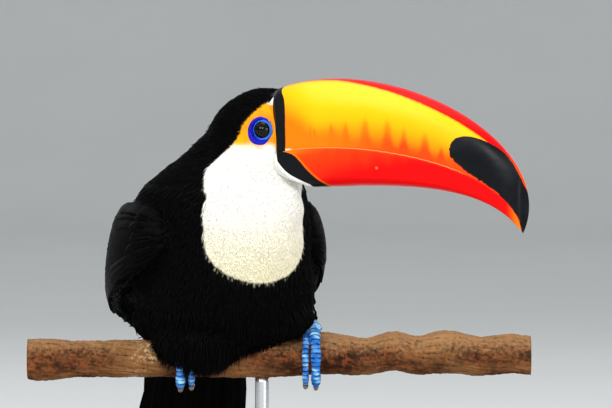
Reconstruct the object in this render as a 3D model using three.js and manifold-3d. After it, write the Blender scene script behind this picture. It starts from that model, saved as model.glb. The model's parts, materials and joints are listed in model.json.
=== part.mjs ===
// A toco toucan, life size, gripping a short length of branch on a display stand.
// Millimetres. +Z is up, the branch lies along X, and the toucan's breast faces -Y.
// The origin is the centre of the underside of the stand's base.

import * as THREE from 'three';
import { mergeVertices } from 'three/addons/utils/BufferGeometryUtils.js';
import Module from 'manifold-3d';

const wasm = await Module();
wasm.setup();

const GAP = 0.3;
const ROOM = 0.4;

// Stand and branch
const BASE = { radius: 95, height: 14, chamfer: 3, sides: 36 };
const ROD = { radius: 4.5, sides: 14 };
const PERCH = { height: 169, radius: 12.4, left: -150, right: 172, sides: 12, rings: 20 };
const PERCH_KNOTS = [
  { x: -140, spread: 13, swell: 2.2, rise: -0.8 },
  { x: 40, spread: 20, swell: 1.9, rise: 3.2 },
  { x: 84, spread: 12, swell: 1.0, rise: 4.6 },
  { x: 118, spread: 17, swell: 1.8, rise: 4.4 },
  { x: 160, spread: 16, swell: 0.6, rise: 3.0 },
];

// The trunk's heading: degrees that the breast is turned from -Y towards +X.
// corner is the power of its oval sections: 2 is an ellipse, and more fills the corners.
const TRUNK = { x: -25, turn: 18, corner: 2.1, sides: 26, rings: 15 };

// Two rings that round the trunk's underside off: drop below the lowest section, and their scale.
const TRUNK_FLOOR = [{ drop: 6, scale: 0.45 }, { drop: 3.6, scale: 0.78 }];

// Level sections of the trunk and neck, from the vent fluff up to inside the head.
// z height, x and y centre, long half-length along the heading, wide half-width, turn of the heading.
const TRUNK_LEVELS = [
  { z: 177, x: -27, y: 10, long: 36, wide: 43, turn: 18 },
  { z: 186, x: -24, y: 14, long: 47, wide: 54, turn: 18 },
  { z: 202, x: -24, y: 9, long: 61, wide: 57.5, turn: 18 },
  { z: 225, x: -25, y: 3, long: 69, wide: 58, turn: 18 },
  { z: 250, x: -25, y: -3, long: 71, wide: 56, turn: 18 },
  { z: 270, x: -26, y: -10, long: 62, wide: 55, turn: 21 },
  { z: 286, x: -21.5, y: -18, long: 51, wide: 47, turn: 30 },
  { z: 301, x: -13, y: -28, long: 40, wide: 33, turn: 46 },
  { z: 314, x: -10, y: -33, long: 28, wide: 24, turn: 60 },
];

// Soft lobes of plumage: over the branch's front, both flanks, chin, rump and under the tail.
const LOBES = [
  { x: -40, y: -11, z: 183, rx: 33, ry: 24, rz: 20 },
  { x: -58, y: 2, z: 194, rx: 27, ry: 26, rz: 19 },
  { x: 8, y: -6, z: 196, rx: 28, ry: 28, rz: 18 },
  { x: 3, y: -37, z: 265, rx: 27, ry: 28, rz: 30 },
  { x: -43, y: 54, z: 191, rx: 31, ry: 21, rz: 35 },
  { x: -38, y: 38, z: 180, rx: 27, ry: 20, rz: 21 },
];
const LOBE_SIDES = { around: 12, up: 7 };

// Head frame: u runs forward along the bill, v is height over the branch's axis.
const HEAD = { x: 20.7, y: -48, floor: 170, turn: -25, corner: 2.15, sides: 22, rings: 10 };

// The bill's root edge: level with u over the cheek, back over the brow and forward under the chin.
const ROOT_EDGE = { u: -4, brow: 150, browSpan: 24, browBack: 6, browBend: 2, step: 4 };
const CHIN_EDGE = { v: 126, span: 17, forward: 20, bend: 2.2, most: 1.2 };
const FRONT_BLOCK = { low: 60, high: 200, far: 300, half: 100 };

// Upright sections of the head, from the nape to the face.
const HEAD_LEVELS = [
  { u: -60, low: 126, high: 143, wide: 8 },
  { u: -55, low: 117, high: 153.5, wide: 16.5 },
  { u: -45, low: 107, high: 165.5, wide: 22.5 },
  { u: -30, low: 104, high: 172, wide: 23.6 },
  { u: -14, low: 107, high: 172.4, wide: 21 },
  { u: -2, low: 113, high: 171, wide: 18.3 },
];

// Bill outlines, each a cubic curve of four points (u, v).
const CULMEN = [[-9.2, 171.6], [59, 197.7], [185, 140.3], [155.3, 81.8]];
const TOMIUM = [[-6, 131.6], [59, 142.8], [152.5, 123.5], [154.8, 84.3]];
const KEEL = [[-6, 114], [-5, 100.6], [118.2, 129.6], [153.9, 85.2]];
const BILL = { baseWidth: 40, length: 164, tip: 0.99, crowd: 1.25, rings: 16, around: 7 };

// The bill seen from above narrows by this power to a tip of the least share of its width.
const BILL_PLAN = { power: 1.55, least: 0.0016 };

// Cross-sections: the upper half is widest at a share of its height and tucks in below it.
const UPPER_SECTION = { widest: 0.6, power: 2.8, tuck: 0.07 };
const LOWER_SECTION = { wide: 0.93, power: 2.4 };

const EYE = { u: -13.4, v: 146, side: 17.2, radius: 6, around: 12, up: 8 };

// Folded wing: stations from the wrist to the tip, laid over the trunk.
// bearing is degrees round the trunk from its front, lift is how far it stands off, trail is how far
// it runs on behind, tall and thick are half-sizes across the wing.
const WING_STATIONS = [
  { bearing: 58, z: 250, lift: -3, trail: 0, tall: 9, thick: 4 },
  { bearing: 68, z: 249, lift: 0, trail: 0, tall: 20, thick: 8.5 },
  { bearing: 88, z: 243, lift: 1, trail: 0, tall: 29, thick: 9.5 },
  { bearing: 116, z: 227, lift: 0, trail: 2, tall: 30, thick: 9.5 },
  { bearing: 142, z: 208, lift: 1, trail: 7, tall: 25, thick: 7.5 },
  { bearing: 156, z: 184, lift: 1, trail: 21, tall: 15, thick: 4.5 },
  { bearing: 162, z: 157, lift: 1, trail: 36, tall: 4, thick: 1.6 },
];
const WING = {
  rightLift: 7.5, leftLift: -3, lowest: 192, tilt: 0.2, near: 0.03, corner: 2, rings: 13, sides: 12,
};

// Tail: stations from the root to the squared tip.
const TAIL_STATIONS = [
  { s: -54, z: 212, wide: 22, thick: 9 },
  { s: -62, z: 186, wide: 29, thick: 8 },
  { s: -74, z: 146, wide: 35.5, thick: 4.6 },
  { s: -89, z: 92, wide: 36, thick: 2.6 },
  { s: -98, z: 62, wide: 33.5, thick: 1.8 },
  { s: -100.5, z: 55, wide: 27, thick: 1.2 },
];

const TAIL = { aside: -1.5, arch: 0.1, back: -0.96, up: 0.28, corner: 2.6, rings: 10, sides: 18 };

// Feet: two toes forward and two back, round the branch.
const FEET = {
  right: { x: -47, toes: [[-6.5, 3.3], [3, 2.9]] },
  left: { x: 31, toes: [[-2.6, 2.9], [4.8, 3.3]] },
};
const TOE = { start: 88, end: -58, backEnd: 238, slack: 5, root: 0.45, taper: 0.22, rings: 6, sides: 7 };
const CLAW = {
  radius: 1.8, reach: 24, clear: 2.6, arch: 2, droop: 2.5, taper: 0.85, bend: 1.4, rings: 4, sides: 6,
};
const LEG = { radius: 3.4, top: 214, y: 6, lean: -4, sides: 10 };
const PAD = { rx: 6.4, ry: 6.2, rz: 4, around: 10, up: 6 };

// Planes that part the head from the neck and the neck from the trunk.
const HEAD_CUT = { x: -8, y: -38, z: 297, tiltX: 14, tiltY: 17 };
const NECK_CUT = { x: -14, y: -24, z: 274, tiltX: 17, tiltY: 13 };
const CUT_BLOCK = 600;

const COLOURS = {
  black: 0x0d0d10, white: 0xf1ece0, orange: 0xe98a1d, red: 0xd8431f, blue: 0x4d7fc4,
  eye: 0x120c0a, claw: 0x2a2723, bark: 0x8b6d4e, steel: 0xb9bcc0, wood: 0x3a2418,
};

const radians = THREE.MathUtils.degToRad;

// A value from four neighbours, passing through the middle two.
function throughFour(a, b, c, d, t) {
  const rise = (c - a) / 2;
  const fall = (d - b) / 2;
  const cubic = 2 * b - 2 * c + rise + fall;
  const square = -3 * b + 3 * c - 2 * rise - fall;
  return cubic * t ** 3 + square * t ** 2 + rise * t + b;
}

// Every field of a list of stations, smoothly between them; t runs from 0 to 1.
function between(stations, t) {
  const place = t * (stations.length - 1);
  const i = Math.min(Math.floor(place), stations.length - 2);
  const pick = (k) => stations[Math.min(Math.max(k, 0), stations.length - 1)];
  const around = [pick(i - 1), pick(i), pick(i + 1), pick(i + 2)];
  const mixed = {};
  for (const key of Object.keys(stations[0])) {
    mixed[key] = throughFour(...around.map((station) => station[key]), place - i);
  }
  return mixed;
}

// A closed skin over rings of points, each ring closed on itself, with a fan at both ends.
function loft(rings) {
  const sides = rings[0].length;
  const positions = [];
  const faces = [];
  for (const ring of rings) {
    for (const point of ring) {
      positions.push(point.x, point.y, point.z);
    }
  }
  for (let r = 0; r < rings.length - 1; r += 1) {
    for (let i = 0; i < sides; i += 1) {
      const a = r * sides + i;
      const b = r * sides + ((i + 1) % sides);
      faces.push(a, b, b + sides, a, b + sides, a + sides);
    }
  }
  for (const [row, turned] of [[0, true], [rings.length - 1, false]]) {
    const centre = new THREE.Vector3();
    rings[row].forEach((point) => centre.addScaledVector(point, 1 / sides));
    const hub = positions.length / 3;
    positions.push(centre.x, centre.y, centre.z);
    for (let i = 0; i < sides; i += 1) {
      const a = row * sides + i;
      const b = row * sides + ((i + 1) % sides);
      faces.push(hub, turned ? b : a, turned ? a : b);
    }
  }
  const geometry = new THREE.BufferGeometry();
  geometry.setAttribute('position', new THREE.Float32BufferAttribute(positions, 3));
  geometry.setIndex(faces);
  return geometry;
}

// A three.js geometry as a solid for joining and cutting.
function solid(geometry) {
  const plain = geometry.clone();
  for (const name of Object.keys(plain.attributes)) {
    if (name !== 'position') {
      plain.deleteAttribute(name);
    }
  }
  const merged = mergeVertices(plain, 1e-4);
  const vertProperties = new Float32Array(merged.attributes.position.array);
  const triVerts = new Uint32Array(merged.index.array);
  const made = new wasm.Manifold(new wasm.Mesh({ numProp: 3, vertProperties, triVerts }));
  if (made.volume() > 0) {
    return made;
  }
  for (let i = 0; i < triVerts.length; i += 3) {
    [triVerts[i + 1], triVerts[i + 2]] = [triVerts[i + 2], triVerts[i + 1]];
  }
  return new wasm.Manifold(new wasm.Mesh({ numProp: 3, vertProperties, triVerts }));
}

function joined(solids) {
  return solids.reduce((sum, next) => sum.add(next));
}

// An ellipse drawn out at its corners by a power over 2.
function oval(angle, power) {
  const c = Math.cos(angle);
  const s = Math.sin(angle);
  const lift = 2 / power;
  return [Math.sign(c) * Math.abs(c) ** lift, Math.sign(s) * Math.abs(s) ** lift];
}

function ellipsoid({ x, y, z, rx, ry, rz }, { around, up } = LOBE_SIDES) {
  const geometry = new THREE.SphereGeometry(1, around, up);
  geometry.scale(rx, ry, rz);
  geometry.translate(x, y, z);
  return solid(geometry);
}

// ---- Branch and stand ----

function perchAxis(x) {
  const knots = PERCH_KNOTS.map((knot) => knot.rise * Math.exp(-(((x - knot.x) / knot.spread) ** 2)));
  return PERCH.height + knots.reduce((sum, rise) => sum + rise, 0);
}

function perchRadius(x) {
  const knots = PERCH_KNOTS.map((knot) => knot.swell * Math.exp(-(((x - knot.x) / knot.spread) ** 2)));
  return PERCH.radius + knots.reduce((sum, swell) => sum + swell, 0);
}

function perch(grow) {
  const rings = [];
  for (let r = 0; r <= PERCH.rings; r += 1) {
    const x = THREE.MathUtils.lerp(PERCH.left - grow, PERCH.right + grow, r / PERCH.rings);
    const ring = [];
    for (let i = 0; i < PERCH.sides; i += 1) {
      const angle = (i / PERCH.sides) * Math.PI * 2;
      const radius = (perchRadius(x) + grow) / Math.cos(Math.PI / PERCH.sides / 2);
      ring.push(new THREE.Vector3(x, radius * Math.cos(angle), perchAxis(x) + radius * Math.sin(angle)));
    }
    rings.push(ring);
  }
  return solid(loft(rings));
}

function base() {
  const { radius, height, chamfer, sides } = BASE;
  const profile = [
    new THREE.Vector2(0, 0),
    new THREE.Vector2(radius, 0),
    new THREE.Vector2(radius, height - chamfer),
    new THREE.Vector2(radius - chamfer, height),
    new THREE.Vector2(0, height),
  ];
  const geometry = new THREE.LatheGeometry(profile, sides);
  geometry.rotateX(Math.PI / 2);
  return solid(geometry);
}

function rod() {
  const top = PERCH.height;
  const height = top - BASE.height - GAP;
  const geometry = new THREE.CylinderGeometry(ROD.radius, ROD.radius, height, ROD.sides);
  geometry.rotateX(Math.PI / 2);
  geometry.translate(0, 0, BASE.height + GAP + height / 2);
  return solid(geometry);
}

// ---- Trunk, neck and head ----

// The ring of points of a level section.
function levelRing(level, grow) {
  const heading = radians(level.turn);
  const forward = new THREE.Vector3(Math.sin(heading), -Math.cos(heading), 0);
  const right = new THREE.Vector3(-Math.cos(heading), -Math.sin(heading), 0);
  const ring = [];
  for (let i = 0; i < TRUNK.sides; i += 1) {
    const [c, s] = oval((i / TRUNK.sides) * Math.PI * 2, TRUNK.corner);
    const point = new THREE.Vector3(level.x, level.y, level.z);
    point.addScaledVector(forward, c * (level.long + grow));
    point.addScaledVector(right, s * (level.wide + grow));
    ring.push(point);
  }
  return ring;
}

function trunkForm(grow) {
  const rings = [];
  const lowest = TRUNK_LEVELS[0];
  for (const { drop, scale } of TRUNK_FLOOR) {
    const long = lowest.long * scale;
    const wide = lowest.wide * scale;
    rings.push(levelRing({ ...lowest, z: lowest.z - drop, long, wide }, grow));
  }
  for (let r = 0; r <= TRUNK.rings; r += 1) {
    rings.push(levelRing(between(TRUNK_LEVELS, r / TRUNK.rings), grow));
  }
  return solid(loft(rings));
}

// A point of the head frame: u forward, w to the toucan's right, v up.
function headPoint(u, w, v) {
  return new THREE.Vector3(u, -w, v);
}

function placeHead(made) {
  const matrix = new THREE.Matrix4().makeRotationZ(radians(HEAD.turn));
  matrix.setPosition(HEAD.x, HEAD.y, HEAD.floor);
  return made.transform(matrix.toArray());
}

function headForm() {
  const rings = [];
  for (let r = 0; r <= HEAD.rings; r += 1) {
    const level = between(HEAD_LEVELS, r / HEAD.rings);
    const middle = (level.low + level.high) / 2;
    const half = (level.high - level.low) / 2;
    const ring = [];
    for (let i = 0; i < HEAD.sides; i += 1) {
      const [c, s] = oval((i / HEAD.sides) * Math.PI * 2, HEAD.corner);
      ring.push(headPoint(level.u, c * level.wide, middle + s * half));
    }
    rings.push(ring);
  }
  return placeHead(solid(loft(rings)));
}

// ---- Bill ----

function curveOf(points) {
  const [a, b, c, d] = points.map(([u, v]) => new THREE.Vector2(u, v));
  return new THREE.CubicBezierCurve(a, b, c, d);
}

// The bill's half-width at a place u along it.
function billHalfWidth(u) {
  const t = THREE.MathUtils.clamp((u - CULMEN[0][0]) / BILL.length, 0, 1);
  return (BILL.baseWidth / 2) * Math.sqrt(Math.max(1 - t ** BILL_PLAN.power, BILL_PLAN.least));
}

// Share of the half-width, from the outer edge (f = 0) to the cutting edge (f = 1).
function upperProfile(f) {
  const { widest, power, tuck } = UPPER_SECTION;
  const rise = Math.min(f / widest, 1);
  const below = Math.max(f - widest, 0) / (1 - widest);
  return (1 - (1 - rise) ** power) ** (1 / power) * (1 - tuck * below ** 2);
}

function lowerProfile(f) {
  const { wide, power } = LOWER_SECTION;
  return wide * (1 - (1 - f) ** power) ** (1 / power);
}

// One half of the bill, between its outer edge and the cutting edge. inset draws the cutting edge
// back, and grow swells the rest.
function mandible(outer, profile, inset, grow) {
  const outerCurve = curveOf(outer);
  const seamCurve = curveOf(TOMIUM);
  const rings = [];
  for (let r = 0; r <= BILL.rings; r += 1) {
    const t = Math.min(1 - (1 - r / BILL.rings) ** BILL.crowd, BILL.tip);
    const edge = outerCurve.getPoint(t);
    const seam = seamCurve.getPoint(t);
    const outward = edge.clone().sub(seam).normalize();
    edge.addScaledVector(outward, grow);
    seam.addScaledVector(outward, inset);
    const right = [];
    for (let i = 0; i <= BILL.around; i += 1) {
      const f = (1 - Math.cos((i / BILL.around) * Math.PI)) / 2;
      const place = edge.clone().lerp(seam, f);
      const wide = i === 0 ? 0 : billHalfWidth(place.x) * profile(f) + grow;
      right.push([place.x, wide, place.y]);
    }
    const left = right.slice(1).reverse().map(([u, w, v]) => [u, -w, v]);
    rings.push([...right, ...left].map((point) => headPoint(...point)));
  }
  return solid(loft(rings));
}

// Where the bill starts at a height v.
function rootEdge(v) {
  const brow = THREE.MathUtils.clamp((v - ROOT_EDGE.brow) / ROOT_EDGE.browSpan, 0, 1);
  const chin = THREE.MathUtils.clamp((CHIN_EDGE.v - v) / CHIN_EDGE.span, 0, CHIN_EDGE.most);
  const back = ROOT_EDGE.browBack * brow ** ROOT_EDGE.browBend;
  return ROOT_EDGE.u - back + CHIN_EDGE.forward * chin ** CHIN_EDGE.bend;
}

// Everything in front of the bill's root edge, as a block to cut with.
function frontOf(shift) {
  const { low, high, far, half } = FRONT_BLOCK;
  const outline = [new THREE.Vector2(far, high), new THREE.Vector2(far, low)];
  for (let v = low; v <= high; v += ROOT_EDGE.step) {
    outline.push(new THREE.Vector2(rootEdge(v) + shift, v));
  }
  const shape = new THREE.Shape(outline);
  const geometry = new THREE.ExtrudeGeometry(shape, { depth: 2 * half, bevelEnabled: false });
  geometry.rotateX(Math.PI / 2);
  geometry.translate(0, half, 0);
  return solid(geometry);
}

function eye(side, grow) {
  const geometry = new THREE.SphereGeometry(EYE.radius + grow, EYE.around, EYE.up);
  const place = headPoint(EYE.u, side * EYE.side, EYE.v);
  geometry.translate(place.x, place.y, place.z);
  return placeHead(solid(geometry));
}

// ---- Wings and tail ----

// A point of the trunk's frame: s forward, w to the toucan's right, z up.
function trunkPoint(s, w, z) {
  const heading = radians(TRUNK.turn);
  const x = TRUNK.x + s * Math.sin(heading) - w * Math.cos(heading);
  return new THREE.Vector3(x, -s * Math.cos(heading) - w * Math.sin(heading), z);
}

function trunkVector(s, w, z) {
  return trunkPoint(s, w, z).sub(trunkPoint(0, 0, 0));
}

// The trunk's level section at a height.
function levelAt(z) {
  let [low, high] = [0, 1];
  for (let step = 0; step < 24; step += 1) {
    const middle = (low + high) / 2;
    if (between(TRUNK_LEVELS, middle).z < z) {
      low = middle;
    } else {
      high = middle;
    }
  }
  return between(TRUNK_LEVELS, low);
}

// A wing station's centre and its outward direction, on the trunk's side.
function wingPlace(at, side) {
  const level = levelAt(Math.max(at.z, WING.lowest));
  const lift = at.lift + (side > 0 ? WING.rightLift : WING.leftLift) * Math.sin(radians(at.bearing)) ** 4;
  const [c, s] = [Math.cos(radians(at.bearing)), side * Math.sin(radians(at.bearing))];
  const outward = trunkVector(c / level.long, s / level.wide, 0).normalize();
  const centre = new THREE.Vector3(level.x, level.y, at.z);
  centre.add(trunkVector(c * level.long - at.trail, s * level.wide, 0)).addScaledVector(outward, lift);
  return { centre, outward: outward.add(new THREE.Vector3(0, 0, WING.tilt)) };
}

function wing(side) {
  const rings = [];
  const station = (t) => between(WING_STATIONS, THREE.MathUtils.clamp(t, 0, 1));
  for (let r = 0; r <= WING.rings; r += 1) {
    const t = r / WING.rings;
    const at = station(t);
    const { centre, outward } = wingPlace(at, side);
    const behind = wingPlace(station(t - WING.near), side).centre;
    const along = wingPlace(station(t + WING.near), side).centre.sub(behind).normalize();
    outward.addScaledVector(along, -outward.dot(along)).normalize();
    const upward = new THREE.Vector3().crossVectors(along, outward).normalize();
    const ring = [];
    for (let i = 0; i < WING.sides; i += 1) {
      const [c, s] = oval((i / WING.sides) * Math.PI * 2, WING.corner);
      const point = centre.clone().addScaledVector(upward, c * at.tall);
      ring.push(point.addScaledVector(outward, s * at.thick));
    }
    rings.push(ring);
  }
  return solid(loft(rings));
}

function tail() {
  const rings = [];
  for (let r = 0; r <= TAIL.rings; r += 1) {
    const at = between(TAIL_STATIONS, r / TAIL.rings);
    const across = trunkVector(0, 1, 0);
    const deep = trunkVector(TAIL.back, 0, TAIL.up).normalize();
    const ring = [];
    for (let i = 0; i < TAIL.sides; i += 1) {
      const [c, s] = oval((i / TAIL.sides) * Math.PI * 2, TAIL.corner);
      const point = trunkPoint(at.s, TAIL.aside, at.z);
      point.addScaledVector(across, c * at.wide);
      point.addScaledVector(deep, s * at.thick - TAIL.arch * at.wide * c * c);
      ring.push(point);
    }
    rings.push(ring);
  }
  return solid(loft(rings));
}

// ---- Legs, feet and claws ----

// A tapering tube of rings round a path of points.
function tube(path, radii, sides) {
  const rings = path.map((point, i) => {
    const before = path[Math.max(i - 1, 0)];
    const after = path[Math.min(i + 1, path.length - 1)];
    const along = after.clone().sub(before).normalize();
    const aside = new THREE.Vector3(1, 0, 0).addScaledVector(along, -along.x).normalize();
    const over = new THREE.Vector3().crossVectors(along, aside);
    const ring = [];
    for (let k = 0; k < sides; k += 1) {
      const angle = (k / sides) * Math.PI * 2;
      const edge = point.clone().addScaledVector(aside, Math.cos(angle) * radii[i]);
      ring.push(edge.addScaledVector(over, Math.sin(angle) * radii[i]));
    }
    return ring;
  });
  return solid(loft(rings));
}

// A point over the branch's bark, at an angle measured from its front.
function roundPerch(x, angle, clear) {
  const reach = perchRadius(x) + clear;
  const turn = radians(angle);
  return new THREE.Vector3(x, -reach * Math.cos(turn), perchAxis(x) + reach * Math.sin(turn));
}

function toeAngles(back) {
  return back ? [180 - TOE.start, TOE.backEnd] : [TOE.start, TOE.end];
}

function toe(foot, [offset, thick], back, grow) {
  const [from, to] = toeAngles(back);
  const path = [];
  const radii = [];
  for (let r = 0; r <= TOE.rings; r += 1) {
    const t = r / TOE.rings;
    const x = foot.x + offset * Math.min(TOE.root + t, 1);
    const angle = THREE.MathUtils.lerp(from, to, t);
    path.push(roundPerch(x, angle, thick + GAP + TOE.slack * t ** 3));
    radii.push(thick * (1 - TOE.taper * t) + grow);
  }
  return tube(path, radii, TOE.sides);
}

function claw(foot, [offset, thick], back) {
  const sign = back ? 1 : -1;
  const start = toeAngles(back)[1] + sign * CLAW.clear;
  const path = [];
  const radii = [];
  for (let r = 0; r <= CLAW.rings; r += 1) {
    const t = r / CLAW.rings;
    const angle = start + sign * CLAW.reach * t;
    const clear = thick + GAP + TOE.slack + CLAW.arch * t * (1 - t) - CLAW.droop * t * t;
    path.push(roundPerch(foot.x + offset, angle, clear));
    radii.push(CLAW.radius * (1 - CLAW.taper * t ** CLAW.bend));
  }
  return tube(path, radii, CLAW.sides);
}

function footPad(foot, grow) {
  const top = roundPerch(foot.x, 90, PAD.rz + GAP);
  const { rx, ry, rz } = PAD;
  return ellipsoid({ x: top.x, y: top.y, z: top.z, rx: rx + grow, ry: ry + grow, rz: rz + grow }, PAD);
}

function footForm(foot, grow) {
  const toes = foot.toes.flatMap((place) => [toe(foot, place, false, grow), toe(foot, place, true, grow)]);
  return joined([footPad(foot, grow), ...toes]);
}

function leg(foot, grow) {
  const start = roundPerch(foot.x, 90, PAD.rz);
  const end = new THREE.Vector3(foot.x + LEG.lean * Math.sign(foot.x), LEG.y, LEG.top + grow);
  const path = [0, 0.5, 1].map((t) => start.clone().lerp(end, t));
  return tube(path, path.map(() => LEG.radius + grow), LEG.sides);
}

// ---- Parting cuts ----

// A large block whose underside is the plane, so that it holds all above it.
function above(cut, shift) {
  const geometry = new THREE.BoxGeometry(CUT_BLOCK, CUT_BLOCK, CUT_BLOCK);
  geometry.translate(0, 0, CUT_BLOCK / 2 + shift);
  geometry.rotateX(radians(cut.tiltX));
  geometry.rotateY(radians(cut.tiltY));
  geometry.translate(cut.x, cut.y, cut.z);
  return solid(geometry);
}

// ---- Assembly ----

const toucan = new THREE.Group();

function addNode(name, made, colour, roughness = 0.6, metalness = 0) {
  const mesh = made.getMesh();
  const geometry = new THREE.BufferGeometry();
  geometry.setAttribute('position', new THREE.Float32BufferAttribute(mesh.vertProperties, 3));
  geometry.setIndex(new THREE.Uint32BufferAttribute(mesh.triVerts, 1));
  geometry.computeVertexNormals();
  const material = new THREE.MeshStandardMaterial({ color: colour, roughness, metalness });
  const node = new THREE.Mesh(geometry, material);
  node.name = name;
  toucan.add(node);
}

// The largest piece of a solid that a cut has left in several.
function mainPiece(made) {
  return made.decompose().reduce((best, piece) => (piece.volume() > best.volume() ? piece : best));
}

const branch = perch(0);
const branchRoom = perch(GAP);
const feet = Object.entries(FEET);
const footRoom = joined(feet.flatMap(([, foot]) => [footForm(foot, ROOM), leg(foot, ROOM)]));
const lobes = joined(LOBES.map((lobe) => ellipsoid(lobe)));
const headAlone = headForm().subtract(placeHead(frontOf(-GAP / 2)));
const bill = frontOf(GAP / 2);
const upperBill = placeHead(mandible(CULMEN, upperProfile, 0, 0).intersect(bill));
const lowerBill = placeHead(mandible(KEEL, lowerProfile, GAP, 0).intersect(bill));
const bothHalves = mandible(CULMEN, upperProfile, -2 * GAP, GAP).add(mandible(KEEL, lowerProfile, -GAP, GAP));
const billRoom = placeHead(bothHalves.intersect(frontOf(-GAP / 2)));
const body = joined([trunkForm(0), lobes]).add(headAlone).subtract(billRoom);
const eyeRoom = eye(1, GAP).add(eye(-1, GAP));
const headSolid = mainPiece(body.intersect(above(HEAD_CUT, GAP / 2)).subtract(eyeRoom));
const belowHead = body.subtract(above(HEAD_CUT, -GAP / 2));
const neckSolid = mainPiece(belowHead.intersect(above(NECK_CUT, GAP / 2)));
const trunkSolid = mainPiece(
  belowHead.subtract(above(NECK_CUT, -GAP / 2)).subtract(branchRoom).subtract(footRoom),
);
const fullRoom = joined([trunkForm(ROOM), lobes]);

addNode('head', headSolid, COLOURS.black);
addNode('bill_upper', upperBill, COLOURS.orange, 0.35);
addNode('bill_lower', lowerBill, COLOURS.red, 0.35);
addNode('neck', neckSolid, COLOURS.white);
addNode('trunk', trunkSolid, COLOURS.black);
addNode('tail', mainPiece(tail().subtract(fullRoom)), COLOURS.black);
for (const [name, side] of [['right', 1], ['left', -1]]) {
  addNode(`eye_${name}`, eye(side, 0), COLOURS.eye, 0.1);
  addNode(`wing_${name}`, mainPiece(wing(side).subtract(fullRoom)), COLOURS.black);
}
for (const [name, foot] of feet) {
  addNode(`leg_${name}`, mainPiece(leg(foot, 0).subtract(footPad(foot, GAP))), COLOURS.blue);
  addNode(`foot_${name}`, mainPiece(footForm(foot, 0).subtract(branchRoom)), COLOURS.blue);
  foot.toes.forEach((place, i) => {
    addNode(`claw_${name}_front_${i + 1}`, claw(foot, place, false), COLOURS.claw, 0.4);
    addNode(`claw_${name}_back_${i + 1}`, claw(foot, place, true), COLOURS.claw, 0.4);
  });
}
addNode('perch', branch, COLOURS.bark, 0.9);
addNode('stand_rod', rod().subtract(branchRoom), COLOURS.steel, 0.3, 1);
addNode('stand_base', base(), COLOURS.wood, 0.5);

export default toucan;
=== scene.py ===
# %% [markdown]
# # A life-size toco toucan on its perch
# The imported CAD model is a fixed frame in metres. Every piece made here takes its place from the
# same sizes, so nothing has to be fitted by eye. The finished bird is a closed skin, some tens of
# thousands of thin solid feathers, a horn bill, two eyes, scaly feet, a branch and a stand.

# %% Load the frame
import json

import bpy
import numpy as np
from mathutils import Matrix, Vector
from mathutils.bvhtree import BVHTree
from mathutils.kdtree import KDTree

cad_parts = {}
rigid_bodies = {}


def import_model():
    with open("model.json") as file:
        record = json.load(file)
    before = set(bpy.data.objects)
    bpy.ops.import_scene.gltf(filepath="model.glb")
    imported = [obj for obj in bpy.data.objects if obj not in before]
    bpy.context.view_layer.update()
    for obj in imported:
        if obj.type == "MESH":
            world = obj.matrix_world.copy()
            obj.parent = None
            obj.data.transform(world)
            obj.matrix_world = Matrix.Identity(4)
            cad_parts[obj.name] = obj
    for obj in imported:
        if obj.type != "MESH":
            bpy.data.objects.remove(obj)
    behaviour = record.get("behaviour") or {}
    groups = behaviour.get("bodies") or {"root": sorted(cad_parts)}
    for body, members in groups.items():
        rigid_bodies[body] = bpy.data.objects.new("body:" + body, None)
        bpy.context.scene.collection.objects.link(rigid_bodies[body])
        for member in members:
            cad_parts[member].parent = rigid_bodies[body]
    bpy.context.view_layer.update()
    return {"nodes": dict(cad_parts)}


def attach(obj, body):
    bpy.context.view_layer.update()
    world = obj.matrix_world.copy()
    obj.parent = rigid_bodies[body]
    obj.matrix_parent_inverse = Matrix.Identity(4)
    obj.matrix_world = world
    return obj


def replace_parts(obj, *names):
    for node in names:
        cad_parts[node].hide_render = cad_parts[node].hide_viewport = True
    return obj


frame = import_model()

print("frame loaded:", len(frame["nodes"]), "nodes")

# %% [markdown]
# ## Camera first
# A long lens from three metres keeps the bill and tail in true proportion, as a photographer of
# birds works. It looks along +Y and a degree and a half down.

# %% Camera
CAMERA_PLACE = (0.02816, -2.99897, 0.34645)
CAMERA_TILT = 88.5
LENS = 275.735

lens = bpy.data.cameras.new("long_lens")
lens.lens = LENS
lens.sensor_width = 36.0
camera = bpy.data.objects.new("long_lens", lens)
camera.location = CAMERA_PLACE
camera.rotation_euler = (np.radians(CAMERA_TILT), 0.0, 0.0)
bpy.context.scene.collection.objects.link(camera)
bpy.context.scene.camera = camera
print("camera at", CAMERA_PLACE)

# %% [markdown]
# ## Small tools for making meshes
# Modelling by hand in the viewport would do for one bird, but a rule that can be read is easier to
# change. All points are kept in millimetres in numpy and become metres when the mesh is made.

# %% Mesh tools
MM = 0.001


def make_mesh(name, points, *face_arrays):
    """A mesh from points in millimetres and arrays of triangles or quads."""
    mesh = bpy.data.meshes.new(name)
    mesh.vertices.add(len(points))
    mesh.vertices.foreach_set("co", (np.asarray(points) * MM).astype(np.float32).ravel())
    corners = np.concatenate([faces.ravel() for faces in face_arrays]).astype(np.int32)
    counts = np.concatenate([np.full(len(faces), faces.shape[1]) for faces in face_arrays])
    mesh.loops.add(len(corners))
    mesh.loops.foreach_set("vertex_index", corners)
    mesh.polygons.add(len(counts))
    mesh.polygons.foreach_set("loop_start", (np.cumsum(counts) - counts).astype(np.int32))
    mesh.update(calc_edges=True)
    mesh.shade_smooth()
    return mesh


def place_piece(name, mesh, material):
    """An object for a finished mesh, riding on the one body of this still model."""
    piece = bpy.data.objects.new(name, mesh)
    bpy.context.scene.collection.objects.link(piece)
    mesh.materials.append(material)
    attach(piece, "root")
    return piece


def write_values(mesh, name, values):
    """One number for each vertex, to be read by a material."""
    layer = mesh.attributes.new(name, "FLOAT", "POINT")
    layer.data.foreach_set("value", np.asarray(values, dtype=np.float32))


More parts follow.
